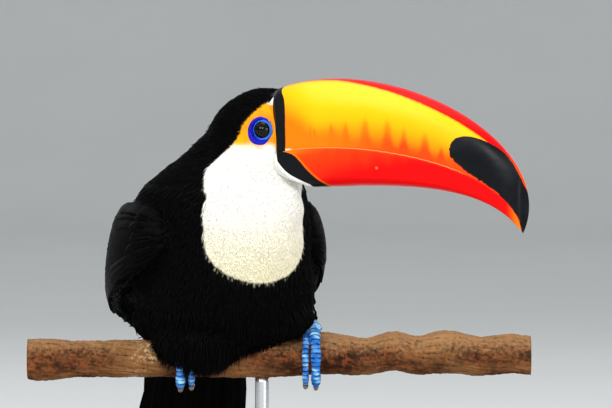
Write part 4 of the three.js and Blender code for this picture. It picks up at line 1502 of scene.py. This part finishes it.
# %% [markdown]
# ## Eyes
# A toucan's eye looks all dark: a black pupil in a deep brown iris behind a clear, wet cornea. The
# ball sits in the head with a little more than a third of it showing, inside a swollen blue ring.

# %% Eyeballs
EYE = {**EYE_PLACE, "side": 17.2, "radius": 6.0}
EYE_ROWS, EYE_AROUND = 40, 64
CORNEA_SWELL, CORNEA_SPREAD = 0.28, 0.55
PUPIL, IRIS_RIM = (0.0005, 0.0005, 0.0005, 1), (0.002, 0.002, 0.002, 1)
IRIS_DARK, IRIS_BROWN = (0.001, 0.0008, 0.0008, 1), (0.003, 0.0017, 0.0012, 1)

eye_finish, tree, shader = new_finish("eye", Roughness=0.03, Specular_IOR_Level=0.19)
away = written(tree, "from_pupil")
iris = blend_colours(tree, object_noise(tree, 2600.0, 2.0), IRIS_DARK, IRIS_BROWN)
colour = blend_colours(tree, soft_mask(tree, away, 0.36, 0.40), PUPIL, iris)
colour = blend_colours(tree, soft_mask(tree, away, 0.80, 0.86), colour, IRIS_RIM)
feed(tree, shader, "Base Color", colour)


def eyeball(name, side):
    """A ball with a slightly swollen cornea, its pole looking out of the head."""
    polar = np.linspace(0.02, np.pi - 0.02, EYE_ROWS)[:, None]
    round_it = np.linspace(0, 2 * np.pi, EYE_AROUND, endpoint=False)[None, :]
    radius = EYE["radius"] + CORNEA_SWELL * hump(polar, 0.0, CORNEA_SPREAD) - 0.1
    u = EYE["u"] + radius * np.sin(polar) * np.cos(round_it)
    v = EYE["v"] + radius * np.sin(polar) * np.sin(round_it)
    w = side * (EYE["side"] + radius * np.cos(polar)) + 0 * round_it
    mesh = make_mesh(name, *facing_out(*loft(from_head(u, w, v))))
    spread = np.repeat(polar[:, 0], EYE_AROUND)
    write_values(mesh, "from_pupil", np.concatenate([spread, [0.0, np.pi]]))
    piece = place_piece(name, mesh, eye_finish)
    return piece


for side, name in ((1, "eye_right"), (-1, "eye_left")):
    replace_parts(eyeball(name + "_ball", side), name)

# %% [markdown]
# ## Bare skin
# The eye's ring, the legs and the toes are naked skin. They belong to the same skin as the body,
# so they are built as grids and joined to it: a thick lid that rolls in to the eye, and toes whose
# upper sides are covered by broad plates called scutes.

# %% Eye rings
LID = {"inner": 5.3, "wide": 7.7, "tall_up": 8.9, "tall_down": 9.4, "back": 1.5, "ahead": 0.5}
LID_ROWS, LID_AROUND = 16, 72
LID_POINT = {"turn": 5.15, "spread": 0.35, "reach": 0.9}
LID_SINK = 2.5
ROLL, PUFF = {"height": 0.40, "step": 0.16, "spread": 0.12}, {"height": 0.55, "step": 0.55, "spread": 0.28}


def over_ball(reach):
    """How far out the eyeball's surface lies, at a distance from its middle."""
    return EYE["side"] + np.sqrt(np.maximum(EYE["radius"] ** 2 - reach**2, 0))


def lid_row(turn, outer, step, side):
    """One row of the lid, at a step from the eye slit (0) to the feathers (1), in u, w and v."""
    reach = LID["inner"] + (outer - LID["inner"]) * step
    u = EYE["u"] + LID["ahead"] * (1 - step) - LID["back"] * step + reach * np.cos(turn)
    v = EYE["v"] - 0.4 * step + reach * np.sin(turn)
    ground = np.array([cast_to_skin(a, b, side) for a, b in zip(u, v)])
    lip = sum(fold["height"] * hump(step, fold["step"], fold["spread"]) for fold in (ROLL, PUFF))
    crease = 0.12 * np.sin(9 * turn + 7 * step) + 0.07 * np.sin(23 * turn - 9 * step)
    blend = smoothstep(step, 0.0, 0.45)
    w = (over_ball(np.minimum(reach, 5.6)) - 0.35) * (1 - blend) + (ground + 0.35) * blend
    w = w + lip + crease * hump(step, 0.6, 0.3) - 1.1 * smoothstep(step, 0.82, 1.0)
    from_centre = np.hypot(u - EYE["u"], v - EYE["v"])
    near_ball = (step > 0) & (from_centre < EYE["radius"] + 0.3)
    w = np.where(near_ball, np.maximum(w, over_ball(from_centre) + 0.25), w)
    w = np.where((step > 0) & (step < 0.85), np.maximum(w, ground + 0.3), w)
    return np.stack([u, w, v], axis=-1)


def lid(side):
    """A raised ring round the eye: rows run from inside the eye slit to under the feathers."""
    turn = np.linspace(0, 2 * np.pi, LID_AROUND, endpoint=False)
    pointed = LID_POINT["reach"] * hump(turn, LID_POINT["turn"], LID_POINT["spread"])
    tall = np.where(np.sin(turn) > 0, LID["tall_up"], LID["tall_down"] + pointed)
    outer = 1 / np.sqrt((np.cos(turn) / LID["wide"]) ** 2 + (np.sin(turn) / tall) ** 2)
    grid = np.stack([lid_row(turn, outer, step, side) for step in np.linspace(0, 1, LID_ROWS)])
    sunk = [0.0, LID_SINK, 0.0]
    grid = np.concatenate([grid[:1] - sunk, grid, grid[-1:] - sunk])
    return grid_from_head(grid * [1, side, 1])


BESIDE_HEAD, HEAD_SIDE = 60.0, 18.0


def cast_to_skin(u, v, side):
    """How far out the skin lies at a place on the side of the head."""
    start = from_head(u, side * BESIDE_HEAD, v)
    spot = skin_tree.ray_cast(start.tolist(), (-side * RIGHTWARD).tolist())[0]
    return HEAD_SIDE if spot is None else abs(float((np.array(spot) - HEAD_PLACE) @ RIGHTWARD))


# %% [markdown]
# The toes follow the branch, so their paths are drawn round it by angle: two toes forward and two
# back, the way a toucan grips. The branch's own thickness comes from the same sum of knots.

# %% Branch and toe paths
PERCH = {"height": 169.0, "radius": 12.4, "left": -150.0, "right": 172.0}
KNOTS = [
    {"x": -140, "spread": 13, "swell": 2.2, "rise": -0.8},
    {"x": 40, "spread": 20, "swell": 1.9, "rise": 3.2},
    {"x": 84, "spread": 12, "swell": 1.0, "rise": 4.6},
    {"x": 118, "spread": 17, "swell": 1.8, "rise": 4.4},
    {"x": 160, "spread": 16, "swell": 0.6, "rise": 3.0},
]
FEET = {
    "right": {"x": -47.0, "toes": [(-5.0, 3.6), (2.0, 2.4)]},
    "left": {"x": 31.0, "toes": [(-3.1, 2.6), (3.5, 3.8)]},
}
TOE = {"start": 88.0, "end": -58.0, "back_end": 238.0, "slack": 5.0, "gap": 0.3}
CLAW = {"radius": 1.8, "reach": 24.0}
LEG = {"radius": 3.4, "top": 196.0, "y": 2.0, "lean": -17.0}
SCUTE_LENGTH = 2.7


def over_knots(x, key):
    return sum(knot[key] * hump(x, knot["x"], knot["spread"]) for knot in KNOTS)


def perch_axis(x):
    return PERCH["height"] + over_knots(x, "rise")


def perch_radius(x):
    return PERCH["radius"] + over_knots(x, "swell")


def round_perch(x, angle, clear):
    """A point over the bark, at an angle measured from the branch's front."""
    reach = perch_radius(x) + clear
    turn = np.radians(angle)
    return np.stack([x + 0 * reach, -reach * np.cos(turn), perch_axis(x) + reach * np.sin(turn)], axis=-1)


def tube(path, radii, around):
    """Rings round a path, kept upright to the branch."""
    ahead = normalised(np.gradient(path, axis=0))
    aside = normalised(np.array([1.0, 0.0, 0.0]) - ahead * ahead[:, :1])
    over = np.cross(ahead, aside)
    turn = np.linspace(0, 2 * np.pi, around, endpoint=False)
    if np.ndim(radii) == 1:
        radii = radii[:, None] + 0 * turn
    across, upward = radii * np.cos(turn), radii * np.sin(turn)
    return path[:, None] + aside[:, None] * across[..., None] + over[:, None] * upward[..., None]


def scutes(length_along, over_top, plates):
    """Relief of overlapping plates: a ramp along each plate, on the toe's upper side."""
    phase = (length_along / plates) % 1.0
    return (phase**0.6 * smoothstep(phase, 1.0, 0.84))[:, None] * over_top[None, :]


TOE_ROWS, TOE_AROUND = 110, 28
PAD_LENGTH, JOINT_SPACING = 7.5, 0.27


def toe(foot, offset, thick, back):
    """Rings of one toe from the foot's pad to its tip under the branch, and its relief."""
    start, end = (180 - TOE["start"], TOE["back_end"]) if back else (TOE["start"], TOE["end"])
    angle = np.linspace(start, end, TOE_ROWS)
    t = np.linspace(0, 1, TOE_ROWS)
    x = foot["x"] + offset * np.minimum(0.45 + t, 1)
    path = round_perch(x, angle, thick + TOE["gap"] + TOE["slack"] * t**3)
    length = np.concatenate([[0], np.cumsum(np.linalg.norm(np.diff(path, axis=0), axis=1))])
    turn = np.linspace(0, 2 * np.pi, TOE_AROUND, endpoint=False)
    outward = -np.sin(turn) if back else np.sin(turn)
    over_top = smoothstep(outward, -0.25, 0.35)
    pads = 0.20 * np.sin(length / PAD_LENGTH * 2 * np.pi)
    plates = scutes(length, over_top, SCUTE_LENGTH)
    joints = 0.09 * thick * np.cos((t - 0.08) / JOINT_SPACING * 2 * np.pi)
    radii = (thick * (1 - 0.24 * t) + joints - 0.35)[:, None] + 0.5 * plates
    radii = radii + pads[:, None] * smoothstep(-outward, 0.0, 0.8)[None, :]
    close = np.sqrt(np.clip(1 - np.clip((t - 0.955) / 0.045, 0, 1) ** 2, 0.12, 1))
    return tube(path, radii * close[:, None], TOE_AROUND), np.where(over_top > 0.3, plates, 0.45)


def foot_pad(foot):
    """The ball of the foot, where the four toes meet."""
    polar = np.linspace(0.05, np.pi - 0.05, 18)[:, None]
    turn = np.linspace(0, 2 * np.pi, 26, endpoint=False)[None, :]
    top = round_perch(np.array(foot["x"]), 74.0, 3.6)
    grain = 0.16 * np.sin(9 * turn + 3 * polar) * np.sin(11 * polar)
    x = top[0] + (7.4 + grain) * np.sin(polar) * np.cos(turn)
    y = top[1] + (6.6 + grain) * np.sin(polar) * np.sin(turn)
    z = top[2] + (4.6 + grain) * np.cos(polar) + 0 * turn
    return np.stack([x, y, z], axis=-1), 0.5 + 3.0 * grain


def leg(foot):
    """The short bare leg between the foot and the flank feathers."""
    start = round_perch(np.array(foot["x"]), 90.0, 3.0)
    end = np.array([foot["x"] + LEG["lean"] * np.sign(foot["x"]), LEG["y"], LEG["top"]])
    t = np.linspace(0, 1, 40)
    path = start + (end - start) * t[:, None]
    phase = (t * 8) % 1.0
    ring = LEG["radius"] + 0.3 * phase
    return tube(path, ring - 0.15, 22), np.repeat(phase[:, None], 22, axis=1)


# %% Join the bare skin to the body
def lid_faces(grid):
    """Points and faces of an open ring, turned to face out of the head."""
    points, quads = grid.reshape(-1, 3), loft_faces(*grid.shape[:2])
    outward = np.sign((grid[3].mean(axis=0) - HEAD_PLACE) @ RIGHTWARD)
    lie = np.cross(points[quads[:, 2]] - points[quads[:, 0]], points[quads[:, 3]] - points[quads[:, 1]])
    if (lie @ RIGHTWARD).sum() * outward < 0:
        quads = quads[:, ::-1]
    return points, quads, np.zeros((0, 3), dtype=int)


grids = []
for foot in FEET.values():
    grids.append((*foot_pad(foot), "foot"))
    grids.append((*leg(foot), "foot"))
    for offset, thick in foot["toes"]:
        for back in (False, True):
            grids.append((*toe(foot, offset, thick, back), "foot"))
for side in (1, -1):
    grids.append((lid(side), None, "lid"))

body_quads = np.array([list(p.vertices) for p in fused.polygons if len(p.vertices) == 4])
body_triangles = np.array([list(p.vertices) for p in fused.polygons if len(p.vertices) == 3]).reshape(-1, 3)
all_points, all_quads, all_triangles = [skin_points], [body_quads], [body_triangles]
part_index, raised = [np.zeros(len(skin_points))], [np.zeros(len(skin_points))]
start = len(skin_points)
for grid, plates, part in grids:
    points, quads, triangles = lid_faces(grid) if part == "lid" else facing_out(*loft(grid))
    all_points.append(points)
    all_quads.append(quads + start)
    all_triangles.append(triangles + start)
    part_index.append(np.full(len(points), 1.0 if part == "foot" else 2.0))
    raised.append(np.zeros(len(points)) if plates is None else np.concatenate([plates.ravel(), [0.3, 0.3]]))
    start += len(points)
skin_all = np.concatenate(all_points)
part_index, raised = np.concatenate(part_index), np.concatenate(raised)
skin_mesh = make_mesh("skin", skin_all, np.concatenate(all_quads), np.concatenate(all_triangles))
print("skin with feet and lids:", len(skin_mesh.vertices), "points")

# %% [markdown]
# ## Finish of the skin
# Under the plumage the skin repeats the markings, so a parting between feathers never shows a wrong
# colour. The naked parts have their own colours: deep blue lids with a pale inner rim, and blue feet.
# Painted shade darkens the creases of the naked skin and the grooves between the scutes, painted
# highlights pale the scutes' raised edges, and painted glints dot the scaly skin.

# %% Skin finish
LID_BLUE = np.array([0.010, 0.014, 0.47])
LID_DARK = np.array([0.010, 0.003, 0.17])
LID_PALE = np.array([0.045, 0.21, 0.80])
FOOT_GROOVE_SHADE = np.array([0.004, 0.018, 0.085])
FOOT_BLUE = np.array([0.015, 0.15, 0.56])
FOOT_PAINTED_HIGHLIGHT = np.array([0.36, 0.72, 0.95])

u, w, v = to_head(skin_all).T
from_eye = np.hypot(u - EYE["u"] - LID["ahead"], v - EYE["v"])
veins = smoothstep(wander(skin_all, 0.8, 3.0), -0.1, 0.7) * 0.8
lid_colour = mixed(np.tile(LID_BLUE, (len(skin_all), 1)), LID_DARK, veins)
lid_colour = mixed(lid_colour, LID_PALE, smoothstep(from_eye + 0.25 * wander(skin_all, 0.7), 6.55, 6.0))
# Painted shade: the low grooves between the scutes are coloured a darker blue.
unshaded_plates = smoothstep(raised + 0.25 * wander(skin_all, 1.3, 5.0), 0.12, 0.55)
foot_colour = mixed(np.tile(FOOT_GROOVE_SHADE, (len(skin_all), 1)), FOOT_BLUE, unshaded_plates)
# Painted highlights: the raised edges of the scutes are coloured a pale blue.
plate_highlights = smoothstep(raised + 0.6 * wander(skin_all, 2.4, 1.0), 0.45, 1.15)
plate_highlights = plate_highlights * (0.25 + 0.75 * smoothstep(wander(skin_all, 3.4, 7.0), -0.35, 0.35))
foot_colour = mixed(foot_colour, FOOT_PAINTED_HIGHLIGHT, plate_highlights)
skin_colour = markings(skin_all, on_wing(skin_all, -1.7)[0])
skin_colour[part_index == 1] = foot_colour[part_index == 1]
under_lid = np.hypot((u - EYE["u"] - LID["ahead"]) / LID["wide"], (v - EYE["v"]) / LID["tall_up"])
under_lid = under_lid < np.where(u < EYE["u"], 0.95, 0.80)
lids = (part_index == 2) | ((part_index == 0) & under_lid & (np.abs(w) > 10))
skin_colour[lids] = lid_colour[lids]
write_colours(skin_mesh, "marking", skin_colour)
write_values(skin_mesh, "scaly", (part_index == 1).astype(float))
write_values(skin_mesh, "naked", (part_index > 0).astype(float))

PAINTED_GLINT_BLUE = (0.45, 0.70, 0.95, 1)
skin_finish, tree, shader = new_finish("bare_skin", Roughness=0.5, Specular_IOR_Level=0.06)
place = add(tree, "TexCoord").outputs["Object"]
pores = add(tree, "TexVoronoi", {"Vector": place, "Scale": 1100.0}, feature="DISTANCE_TO_EDGE")
covered = arithmetic(tree, "SUBTRACT", 1.0, written(tree, "naked"))
net_and_crease_shade = arithmetic(tree, "MAXIMUM", soft_mask(tree, pores.outputs["Distance"], 0.0, 0.14), covered)
# Painted glints: pale blue spots on the scaly skin stand in for wet highlights.
painted_glints = times(tree, soft_mask(tree, object_noise(tree, 520.0, 4.0), 0.60, 0.72), written(tree, "scaly"))
wear_and_glints = blend_colours(tree, times(tree, painted_glints, 0.45), written(tree, "marking", "Color"), PAINTED_GLINT_BLUE)
# Painted shade: the creases of the naked skin's net are coloured darker, down to 0.55 of the colour.
feed(tree, shader, "Base Color", shaded(tree, wear_and_glints, stretched(tree, net_and_crease_shade, 0.55, 1.0)))
feed(tree, shader, "Roughness", stretched(tree, net_and_crease_shade, 0.62, 0.40))
bump(tree, shader, net_and_crease_shade, 0.35, 0.0002)

skin = place_piece("skin", skin_mesh, skin_finish)
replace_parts(skin, *FLESH, "leg_right", "leg_left", "foot_right", "foot_left")

# %% [markdown]
# ## Claws
# Each toe ends in a short curved claw of dark horn, pale at the root and sharp at the tip.

# %% Claws
CLAW_ROWS, CLAW_AROUND = 22, 16
CLAW_PALE, CLAW_DARK = (0.13, 0.10, 0.075, 1), (0.018, 0.016, 0.015, 1)

claw_finish, tree, shader = new_finish(
    "claw", Roughness=0.34, Coat_Weight=0.2, Coat_Roughness=0.2, Specular_IOR_Level=0.5)
streak = object_noise(tree, 500.0, 3.0)
darker = soft_mask(tree, ragged(tree, written(tree, "claw_length"), streak, 0.4), 0.1, 0.75)
feed(tree, shader, "Base Color", blend_colours(tree, darker, CLAW_PALE, CLAW_DARK))
feed(tree, shader, "Roughness", stretched(tree, streak, 0.28, 0.46))


def claw(name, foot, offset, thick, back):
    """A curved horn that goes on round the branch from the toe's tip."""
    sign = 1.0 if back else -1.0
    t = np.linspace(0, 1, CLAW_ROWS)
    start = (TOE["back_end"] if back else TOE["end"]) + sign * 2.6
    angle = start + sign * CLAW["reach"] * t
    clear = thick + TOE["gap"] + TOE["slack"] + 2.0 * t * (1 - t) - 2.5 * t * t
    path = round_perch(np.full(CLAW_ROWS, foot["x"] + offset), angle, clear)
    rings = tube(path, CLAW["radius"] * (1 - 0.93 * t**1.4), CLAW_AROUND)
    mesh = make_mesh(name, *facing_out(*loft(rings)))
    write_values(mesh, "claw_length", np.concatenate([np.repeat(t, CLAW_AROUND), [0.0, 1.0]]))
    piece = place_piece(name, mesh, claw_finish)
    return piece


for side, foot in FEET.items():
    for number, (offset, thick) in enumerate(foot["toes"], start=1):
        for back, word in ((False, "front"), (True, "back")):
            node = f"claw_{side}_{word}_{number}"
            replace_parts(claw(node + "_horn", foot, offset, thick, back), node)

# %% [markdown]
# ## The branch
# The perch is a weathered limb with low swellings where twigs once grew. Bark could be painted on a
# smooth tube, but its ridges catch the light at the outline, so the relief is in the mesh: long
# furrows, cross cracks and knots. Both ends are sawn and show the rings of the wood.

# %% Branch mesh
BARK_ROWS, BARK_AROUND = 420, 120
SAWN_RINGS = (0.35, 0.7, 0.9, 0.965)


def bark_relief(x, turn):
    """Depth of furrows and plates in millimetres, never above the smooth surface."""
    spot = np.stack([x * 0.35, 14 * np.cos(turn), 14 * np.sin(turn)], axis=-1).reshape(-1, 3)
    furrow = np.abs(wander(spot, 2.3, 1.0)).reshape(x.shape)
    plate = wander(spot * [2.2, 1, 1], 1.1, 7.0).reshape(x.shape)
    fine = wander(spot * [3, 1, 1], 0.45, 3.0).reshape(x.shape)
    crack = hump(wander(spot * [4.5, 0.35, 0.35], 2.4, 9.0).reshape(x.shape), 0.0, 0.10)
    return -0.75 + 0.75 * np.minimum(furrow * 1.6, 1) + 0.16 * plate + 0.09 * fine - 0.30 * crack


def branch():
    """Rings along the branch, with smaller rings that close each sawn end."""
    t = np.linspace(0, 1, BARK_ROWS)
    x = PERCH["left"] + (PERCH["right"] - PERCH["left"]) * t
    turn = np.linspace(0, 2 * np.pi, BARK_AROUND, endpoint=False)
    xx, aa = np.meshgrid(x, turn, indexing="ij")
    radius = perch_radius(xx) + bark_relief(xx, aa)
    lump = 0.35 * np.sin(2 * aa + xx / 31) + 0.25 * np.sin(3 * aa - xx / 17)
    radius = radius + lump - 0.35
    grid = np.stack([xx, radius * np.cos(aa), perch_axis(xx) + radius * np.sin(aa)], axis=-1)
    ends = []
    for row, inward in ((0, 0.6), (-1, -0.6)):
        centre = np.array([x[row], 0.0, perch_axis(x[row])])
        steps = [centre + (grid[row] - centre) * share + [inward, 0, 0] for share in SAWN_RINGS]
        ends.append(np.stack(steps if row == 0 else steps[::-1]))
    return np.concatenate([ends[0], grid, ends[1]])


rows = branch()
branch_mesh = make_mesh("branch_bark", *facing_out(*loft(rows)))
sawn = np.zeros(rows.shape[:2])
sawn[:len(SAWN_RINGS)] = 1
sawn[-len(SAWN_RINGS):] = 1
write_values(branch_mesh, "sawn", np.concatenate([sawn.ravel(), [1.0, 1.0]]))

# %% [markdown]
# ## Finish of the branch
# Bark is red-brown and paler on top, with pale lichen, and painted shade darkens its hollows.
# The sawn ends are paler wood in rings round the pith, with a dark rim of bark.

# %% Branch finish
BARK_DARK, BARK_BROWN = (0.027, 0.008, 0.003, 1), (0.145, 0.051, 0.017, 1)
BARK_RUST, BARK_SPECK = (0.190, 0.048, 0.014, 1), (0.020, 0.007, 0.003, 1)
BARK_PALE, BARK_TOP_PALE = (0.27, 0.125, 0.045, 1), (0.42, 0.24, 0.105, 1)
LICHEN, BARK_HOLLOW_SHADE = (0.44, 0.33, 0.19, 1), (0.016, 0.007, 0.004, 1)
WOOD_DARK, WOOD_PALE, PITH = (0.44, 0.29, 0.16, 1), (0.62, 0.46, 0.29, 1), (0.16, 0.09, 0.05, 1)

bark_finish, tree, shader = new_finish("bark", Roughness=0.85, Specular_IOR_Level=0.1)
long_grain = object_noise(tree, 120.0, 7.0, (0.6, 1.0, 1.0), Roughness=0.66)
patches = object_noise(tree, 24.0, 4.0, (0.8, 1.0, 1.0))
specks = object_noise(tree, 420.0, 3.0)
rusty = soft_mask(tree, object_noise(tree, 210.0, 4.0), 0.50, 0.62)
speckled = soft_mask(tree, object_noise(tree, 430.0, 4.0), 0.50, 0.60)
place = add(tree, "SeparateXYZ", {"Vector": add(tree, "TexCoord").outputs["Object"]})
above_axis = arithmetic(tree, "SUBTRACT", place.outputs["Z"], PERCH["height"] * MM)
uneven = ragged(tree, above_axis, arithmetic(tree, "SUBTRACT", specks, 0.5), 0.02)
# The bark is coloured paler above the branch's axis.
paler_on_top = soft_mask(tree, uneven, 0.001, 0.014)
lichen = times(tree, soft_mask(tree, patches, 0.60, 0.70), soft_mask(tree, specks, 0.48, 0.60))
# Painted shade: concave places of the bark, found by their pointiness, are coloured near black.
hollow_shade = soft_mask(tree, add(tree, "NewGeometry").outputs["Pointiness"], 0.50, 0.44)
from_pith = length_of(tree, Y=place.outputs["Y"], Z=above_axis)
ring_wave = arithmetic(tree, "SINE", times(tree, ragged(tree, from_pith, specks, 0.0006), 5200.0))
wood = layered(
    tree, WOOD_DARK,
    (soft_mask(tree, ring_wave, -0.4, 0.9), WOOD_PALE),
    (soft_mask(tree, from_pith, 0.0022, 0.0008), PITH),
)
colour = layered(
    tree, BARK_DARK,
    (soft_mask(tree, long_grain, 0.36, 0.64), BARK_BROWN),
    (times(tree, rusty, 0.55), BARK_RUST),
    (times(tree, speckled, 0.6), BARK_SPECK),
    (times(tree, soft_mask(tree, patches, 0.46, 0.64), 0.65), BARK_PALE),
    (times(tree, paler_on_top, 0.46), BARK_TOP_PALE),
    (lichen, LICHEN),
    (hollow_shade, BARK_HOLLOW_SHADE),
    (written(tree, "sawn"), wood),
)
feed(tree, shader, "Base Color", colour)
bump(tree, shader, ragged(tree, long_grain, specks, 0.4), 0.7, 0.0009)

branch_piece = place_piece("branch_bark", branch_mesh, bark_finish)
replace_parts(branch_piece, "perch")
print("branch:", len(branch_mesh.polygons), "faces")

# %% [markdown]
# ## The stand
# A museum mount is plain: a brushed steel rod let into the branch and a turned base of dark stained
# wood. Both are turned shapes, so a profile is spun about the upright axis, with the small
# roundings that a lathe and sandpaper leave.

# %% Turned pieces
def spun(profile, around):
    """Rings of a profile of (radius, height) points spun about the upright axis."""
    profile = np.asarray(profile, dtype=float)
    turn = np.linspace(0, 2 * np.pi, around, endpoint=False)
    ring = np.stack([np.cos(turn), np.sin(turn)], axis=-1)
    level = np.broadcast_to(profile[:, 1, None, None], (len(profile), around, 1))
    return np.concatenate([profile[:, :1, None] * ring[None], level], axis=-1)


def turned(name, profile, around, finish, slot_name, *nodes):
    """A solid of revolution from (radius, height) points, bottom to top."""
    mesh = make_mesh(name, *facing_out(*loft(spun(profile, around))))
    piece = place_piece(name, mesh, finish)
    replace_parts(piece, *nodes)
    print(name, len(mesh.polygons), "faces")
    return piece


def rounded(corner, start, end, radius, steps=7):
    """Points of a rounded corner between two straight runs of a profile."""
    corner, start, end = (np.asarray(p, dtype=float) for p in (corner, start, end))
    first = corner + normalised(start - corner) * radius
    last = corner + normalised(end - corner) * radius
    t = np.linspace(0, 1, steps)[:, None]
    return first * (1 - t) ** 2 + corner * 2 * t * (1 - t) + last * t**2


STAIN_DARK, STAIN_BROWN = (0.020, 0.009, 0.005, 1), (0.085, 0.038, 0.019, 1)
STAIN_PORE = (0.010, 0.005, 0.003, 1)
STEEL_DARK, STEEL_PALE = (0.52, 0.53, 0.55, 1), (0.70, 0.71, 0.73, 1)

wood_finish, tree, shader = new_finish("stained_wood", Roughness=0.6, Specular_IOR_Level=0.2)
grain = object_noise(tree, 26.0, 7.0, (1.0, 9.0, 9.0), Roughness=0.6, Distortion=0.6)
pore = object_noise(tree, 60.0, 3.0, (1.0, 30.0, 30.0))
colour = blend_colours(tree, soft_mask(tree, grain, 0.32, 0.68), STAIN_DARK, STAIN_BROWN)
colour = blend_colours(tree, soft_mask(tree, pore, 0.62, 0.74), colour, STAIN_PORE)
feed(tree, shader, "Base Color", colour)
feed(tree, shader, "Roughness", stretched(tree, grain, 0.52, 0.70))
bump(tree, shader, pore, 0.12, 0.0003)

steel_finish, tree, shader = new_finish("steel", Metallic=1.0, Roughness=0.3)
brush = object_noise(tree, 40.0, 4.0, (6.0, 6.0, 160.0))
colour = blend_colours(tree, soft_mask(tree, brush, 0.3, 0.7), STEEL_DARK, STEEL_PALE)
feed(tree, shader, "Base Color", colour)
feed(tree, shader, "Roughness", stretched(tree, brush, 0.22, 0.40))
bump(tree, shader, brush, 0.08, 0.0001)

BASE = {"radius": 95.0, "height": 14.0}
base_profile = np.concatenate([
    [(0.5, 0.0), (40.0, 0.0), (88.0, 0.0)],
    rounded((BASE["radius"] - 0.4, 0.0), (60, 0), (BASE["radius"] - 0.4, 10), 1.4),
    rounded((BASE["radius"] - 0.4, 8.2), (BASE["radius"] - 0.4, 0), (BASE["radius"] - 2.2, 8.2), 0.5, 4),
    rounded((BASE["radius"] - 2.0, 9.2), (BASE["radius"] - 2.0, 8.2), (BASE["radius"] - 0.8, 9.2), 0.4, 4),
    rounded((BASE["radius"] - 1.6, BASE["height"]), (BASE["radius"] - 1.0, 9.0), (60, BASE["height"]), 2.9),
    [(80.0, BASE["height"]), (40.0, BASE["height"]), (6.0, BASE["height"]), (0.5, BASE["height"])],
])
turned("base_wood", base_profile, 160, wood_finish, "stained_wood", "stand_base")

ROD_RADIUS, ROD_LOW, ROD_HIGH = 4.45, 14.3, 156.8
rod_profile = np.concatenate([
    [(0.3, ROD_LOW), (3.9, ROD_LOW), (ROD_RADIUS, ROD_LOW + 0.5), (ROD_RADIUS, ROD_LOW + 4.0),
     (4.2, ROD_LOW + 4.3), (4.2, ROD_LOW + 4.9), (ROD_RADIUS, ROD_LOW + 5.2)],
    [(ROD_RADIUS, height) for height in np.linspace(ROD_LOW + 12, ROD_HIGH - 3, 8)],
    [(4.4, ROD_HIGH), (0.3, ROD_HIGH)],
])
turned("rod_steel", rod_profile, 64, steel_finish, "steel", "stand_rod")

# %% [markdown]
# ## Studio
# A pale dish stands for the floor and the backdrop: it is flat under the model and curves up far
# away, all the way round, so no horizon shows from any side. Large soft lights keep the shadows
# gentle, with the key from the upper left in front, and a smaller one in front lights the eye.

# %% Floor and backdrop
DISH = {"flat": 7.6, "bend": 2.2, "wall": 6.0}
DISH_AROUND = 96
pale_finish, tree, shader = new_finish("pale_paper", Roughness=0.9, Specular_IOR_Level=0.1)
grain = object_noise(tree, 3.0, 3.0)
feed(tree, shader, "Base Color", blend_colours(tree, grain, (0.62, 0.63, 0.62, 1), (0.66, 0.67, 0.66, 1)))
bend = np.linspace(0, np.pi / 2, 14)
dish_profile = np.concatenate([
    [(0.02, 0.0), (1.0, 0.0), (4.0, 0.0)],
    np.stack([DISH["flat"] + DISH["bend"] * np.sin(bend), DISH["bend"] * (1 - np.cos(bend))], axis=1),
    [(DISH["flat"] + DISH["bend"], DISH["wall"])],
])
dish_rings = spun(dish_profile, DISH_AROUND)
around = np.arange(DISH_AROUND)
hub = np.full(DISH_AROUND, len(dish_profile) * DISH_AROUND)
dish_points = np.concatenate([dish_rings.reshape(-1, 3) / MM, [[0, 0, 0]]])
dish_middle = np.stack([hub, around, (around + 1) % DISH_AROUND], axis=-1)
dish_mesh = make_mesh("studio_dish", dish_points, loft_faces(*dish_rings.shape[:2]), dish_middle)
dish_mesh.materials.append(pale_finish)
dish = bpy.data.objects.new("studio_dish", dish_mesh)
bpy.context.scene.collection.objects.link(dish)

# %% Lights
def soft_light(name, place, aim, size, power, colour=(1, 1, 1)):
    """A round lamp of a size in metres and a power in watts, turned to what it lights."""
    lamp = bpy.data.lights.new(name, "AREA")
    lamp.shape, lamp.size, lamp.energy, lamp.color = "DISK", size, power, colour
    holder = bpy.data.objects.new(name, lamp)
    holder.location = place
    way = np.array(aim) - np.array(place)
    holder.rotation_euler = Vector(way).to_track_quat("-Z", "Y").to_euler()
    bpy.context.scene.collection.objects.link(holder)


MIDDLE = (0.0, 0.0, 0.25)
soft_light("key", (-1.3, -2.2, 1.7), MIDDLE, 1.1, 42, (1.0, 0.985, 0.96))
soft_light("front", (0.1, -2.4, 1.35), MIDDLE, 0.45, 30, (1.0, 0.985, 0.96))
soft_light("fill", (2.2, -2.1, 0.8), MIDDLE, 1.4, 34, (1.0, 0.99, 0.97))
soft_light("top", (0.2, 0.1, 2.4), MIDDLE, 1.4, 14)
soft_light("rim", (-1.6, 2.2, 1.4), MIDDLE, 1.4, 12, (0.97, 0.985, 1.0))
soft_light("back", (1.9, 2.0, 1.1), MIDDLE, 1.4, 10)

world = bpy.data.worlds.new("studio_air")
bpy.context.scene.world = world
world.use_nodes = True
world.node_tree.nodes["Background"].inputs["Color"].default_value = (0.93, 0.96, 1.0, 1)
world.node_tree.nodes["Background"].inputs["Strength"].default_value = 0.80
bpy.context.scene.view_settings.view_transform = "Standard"
bpy.context.scene.view_settings.look = "None"

# %% [markdown]
# ## Measure and finish
# The triangles of every piece that shows are counted, and the coat's on their own.

# %% Sizes
triangles = {}
for piece in bpy.data.objects:
    if piece.type == "MESH" and not piece.hide_render:
        piece.data.calc_loop_triangles()
        triangles[piece.name] = len(piece.data.loop_triangles)
coat_triangles = sum(triangles[piece.name] for piece in coat)
print("triangles in all:", sum(triangles.values()), "of them coat:", coat_triangles)
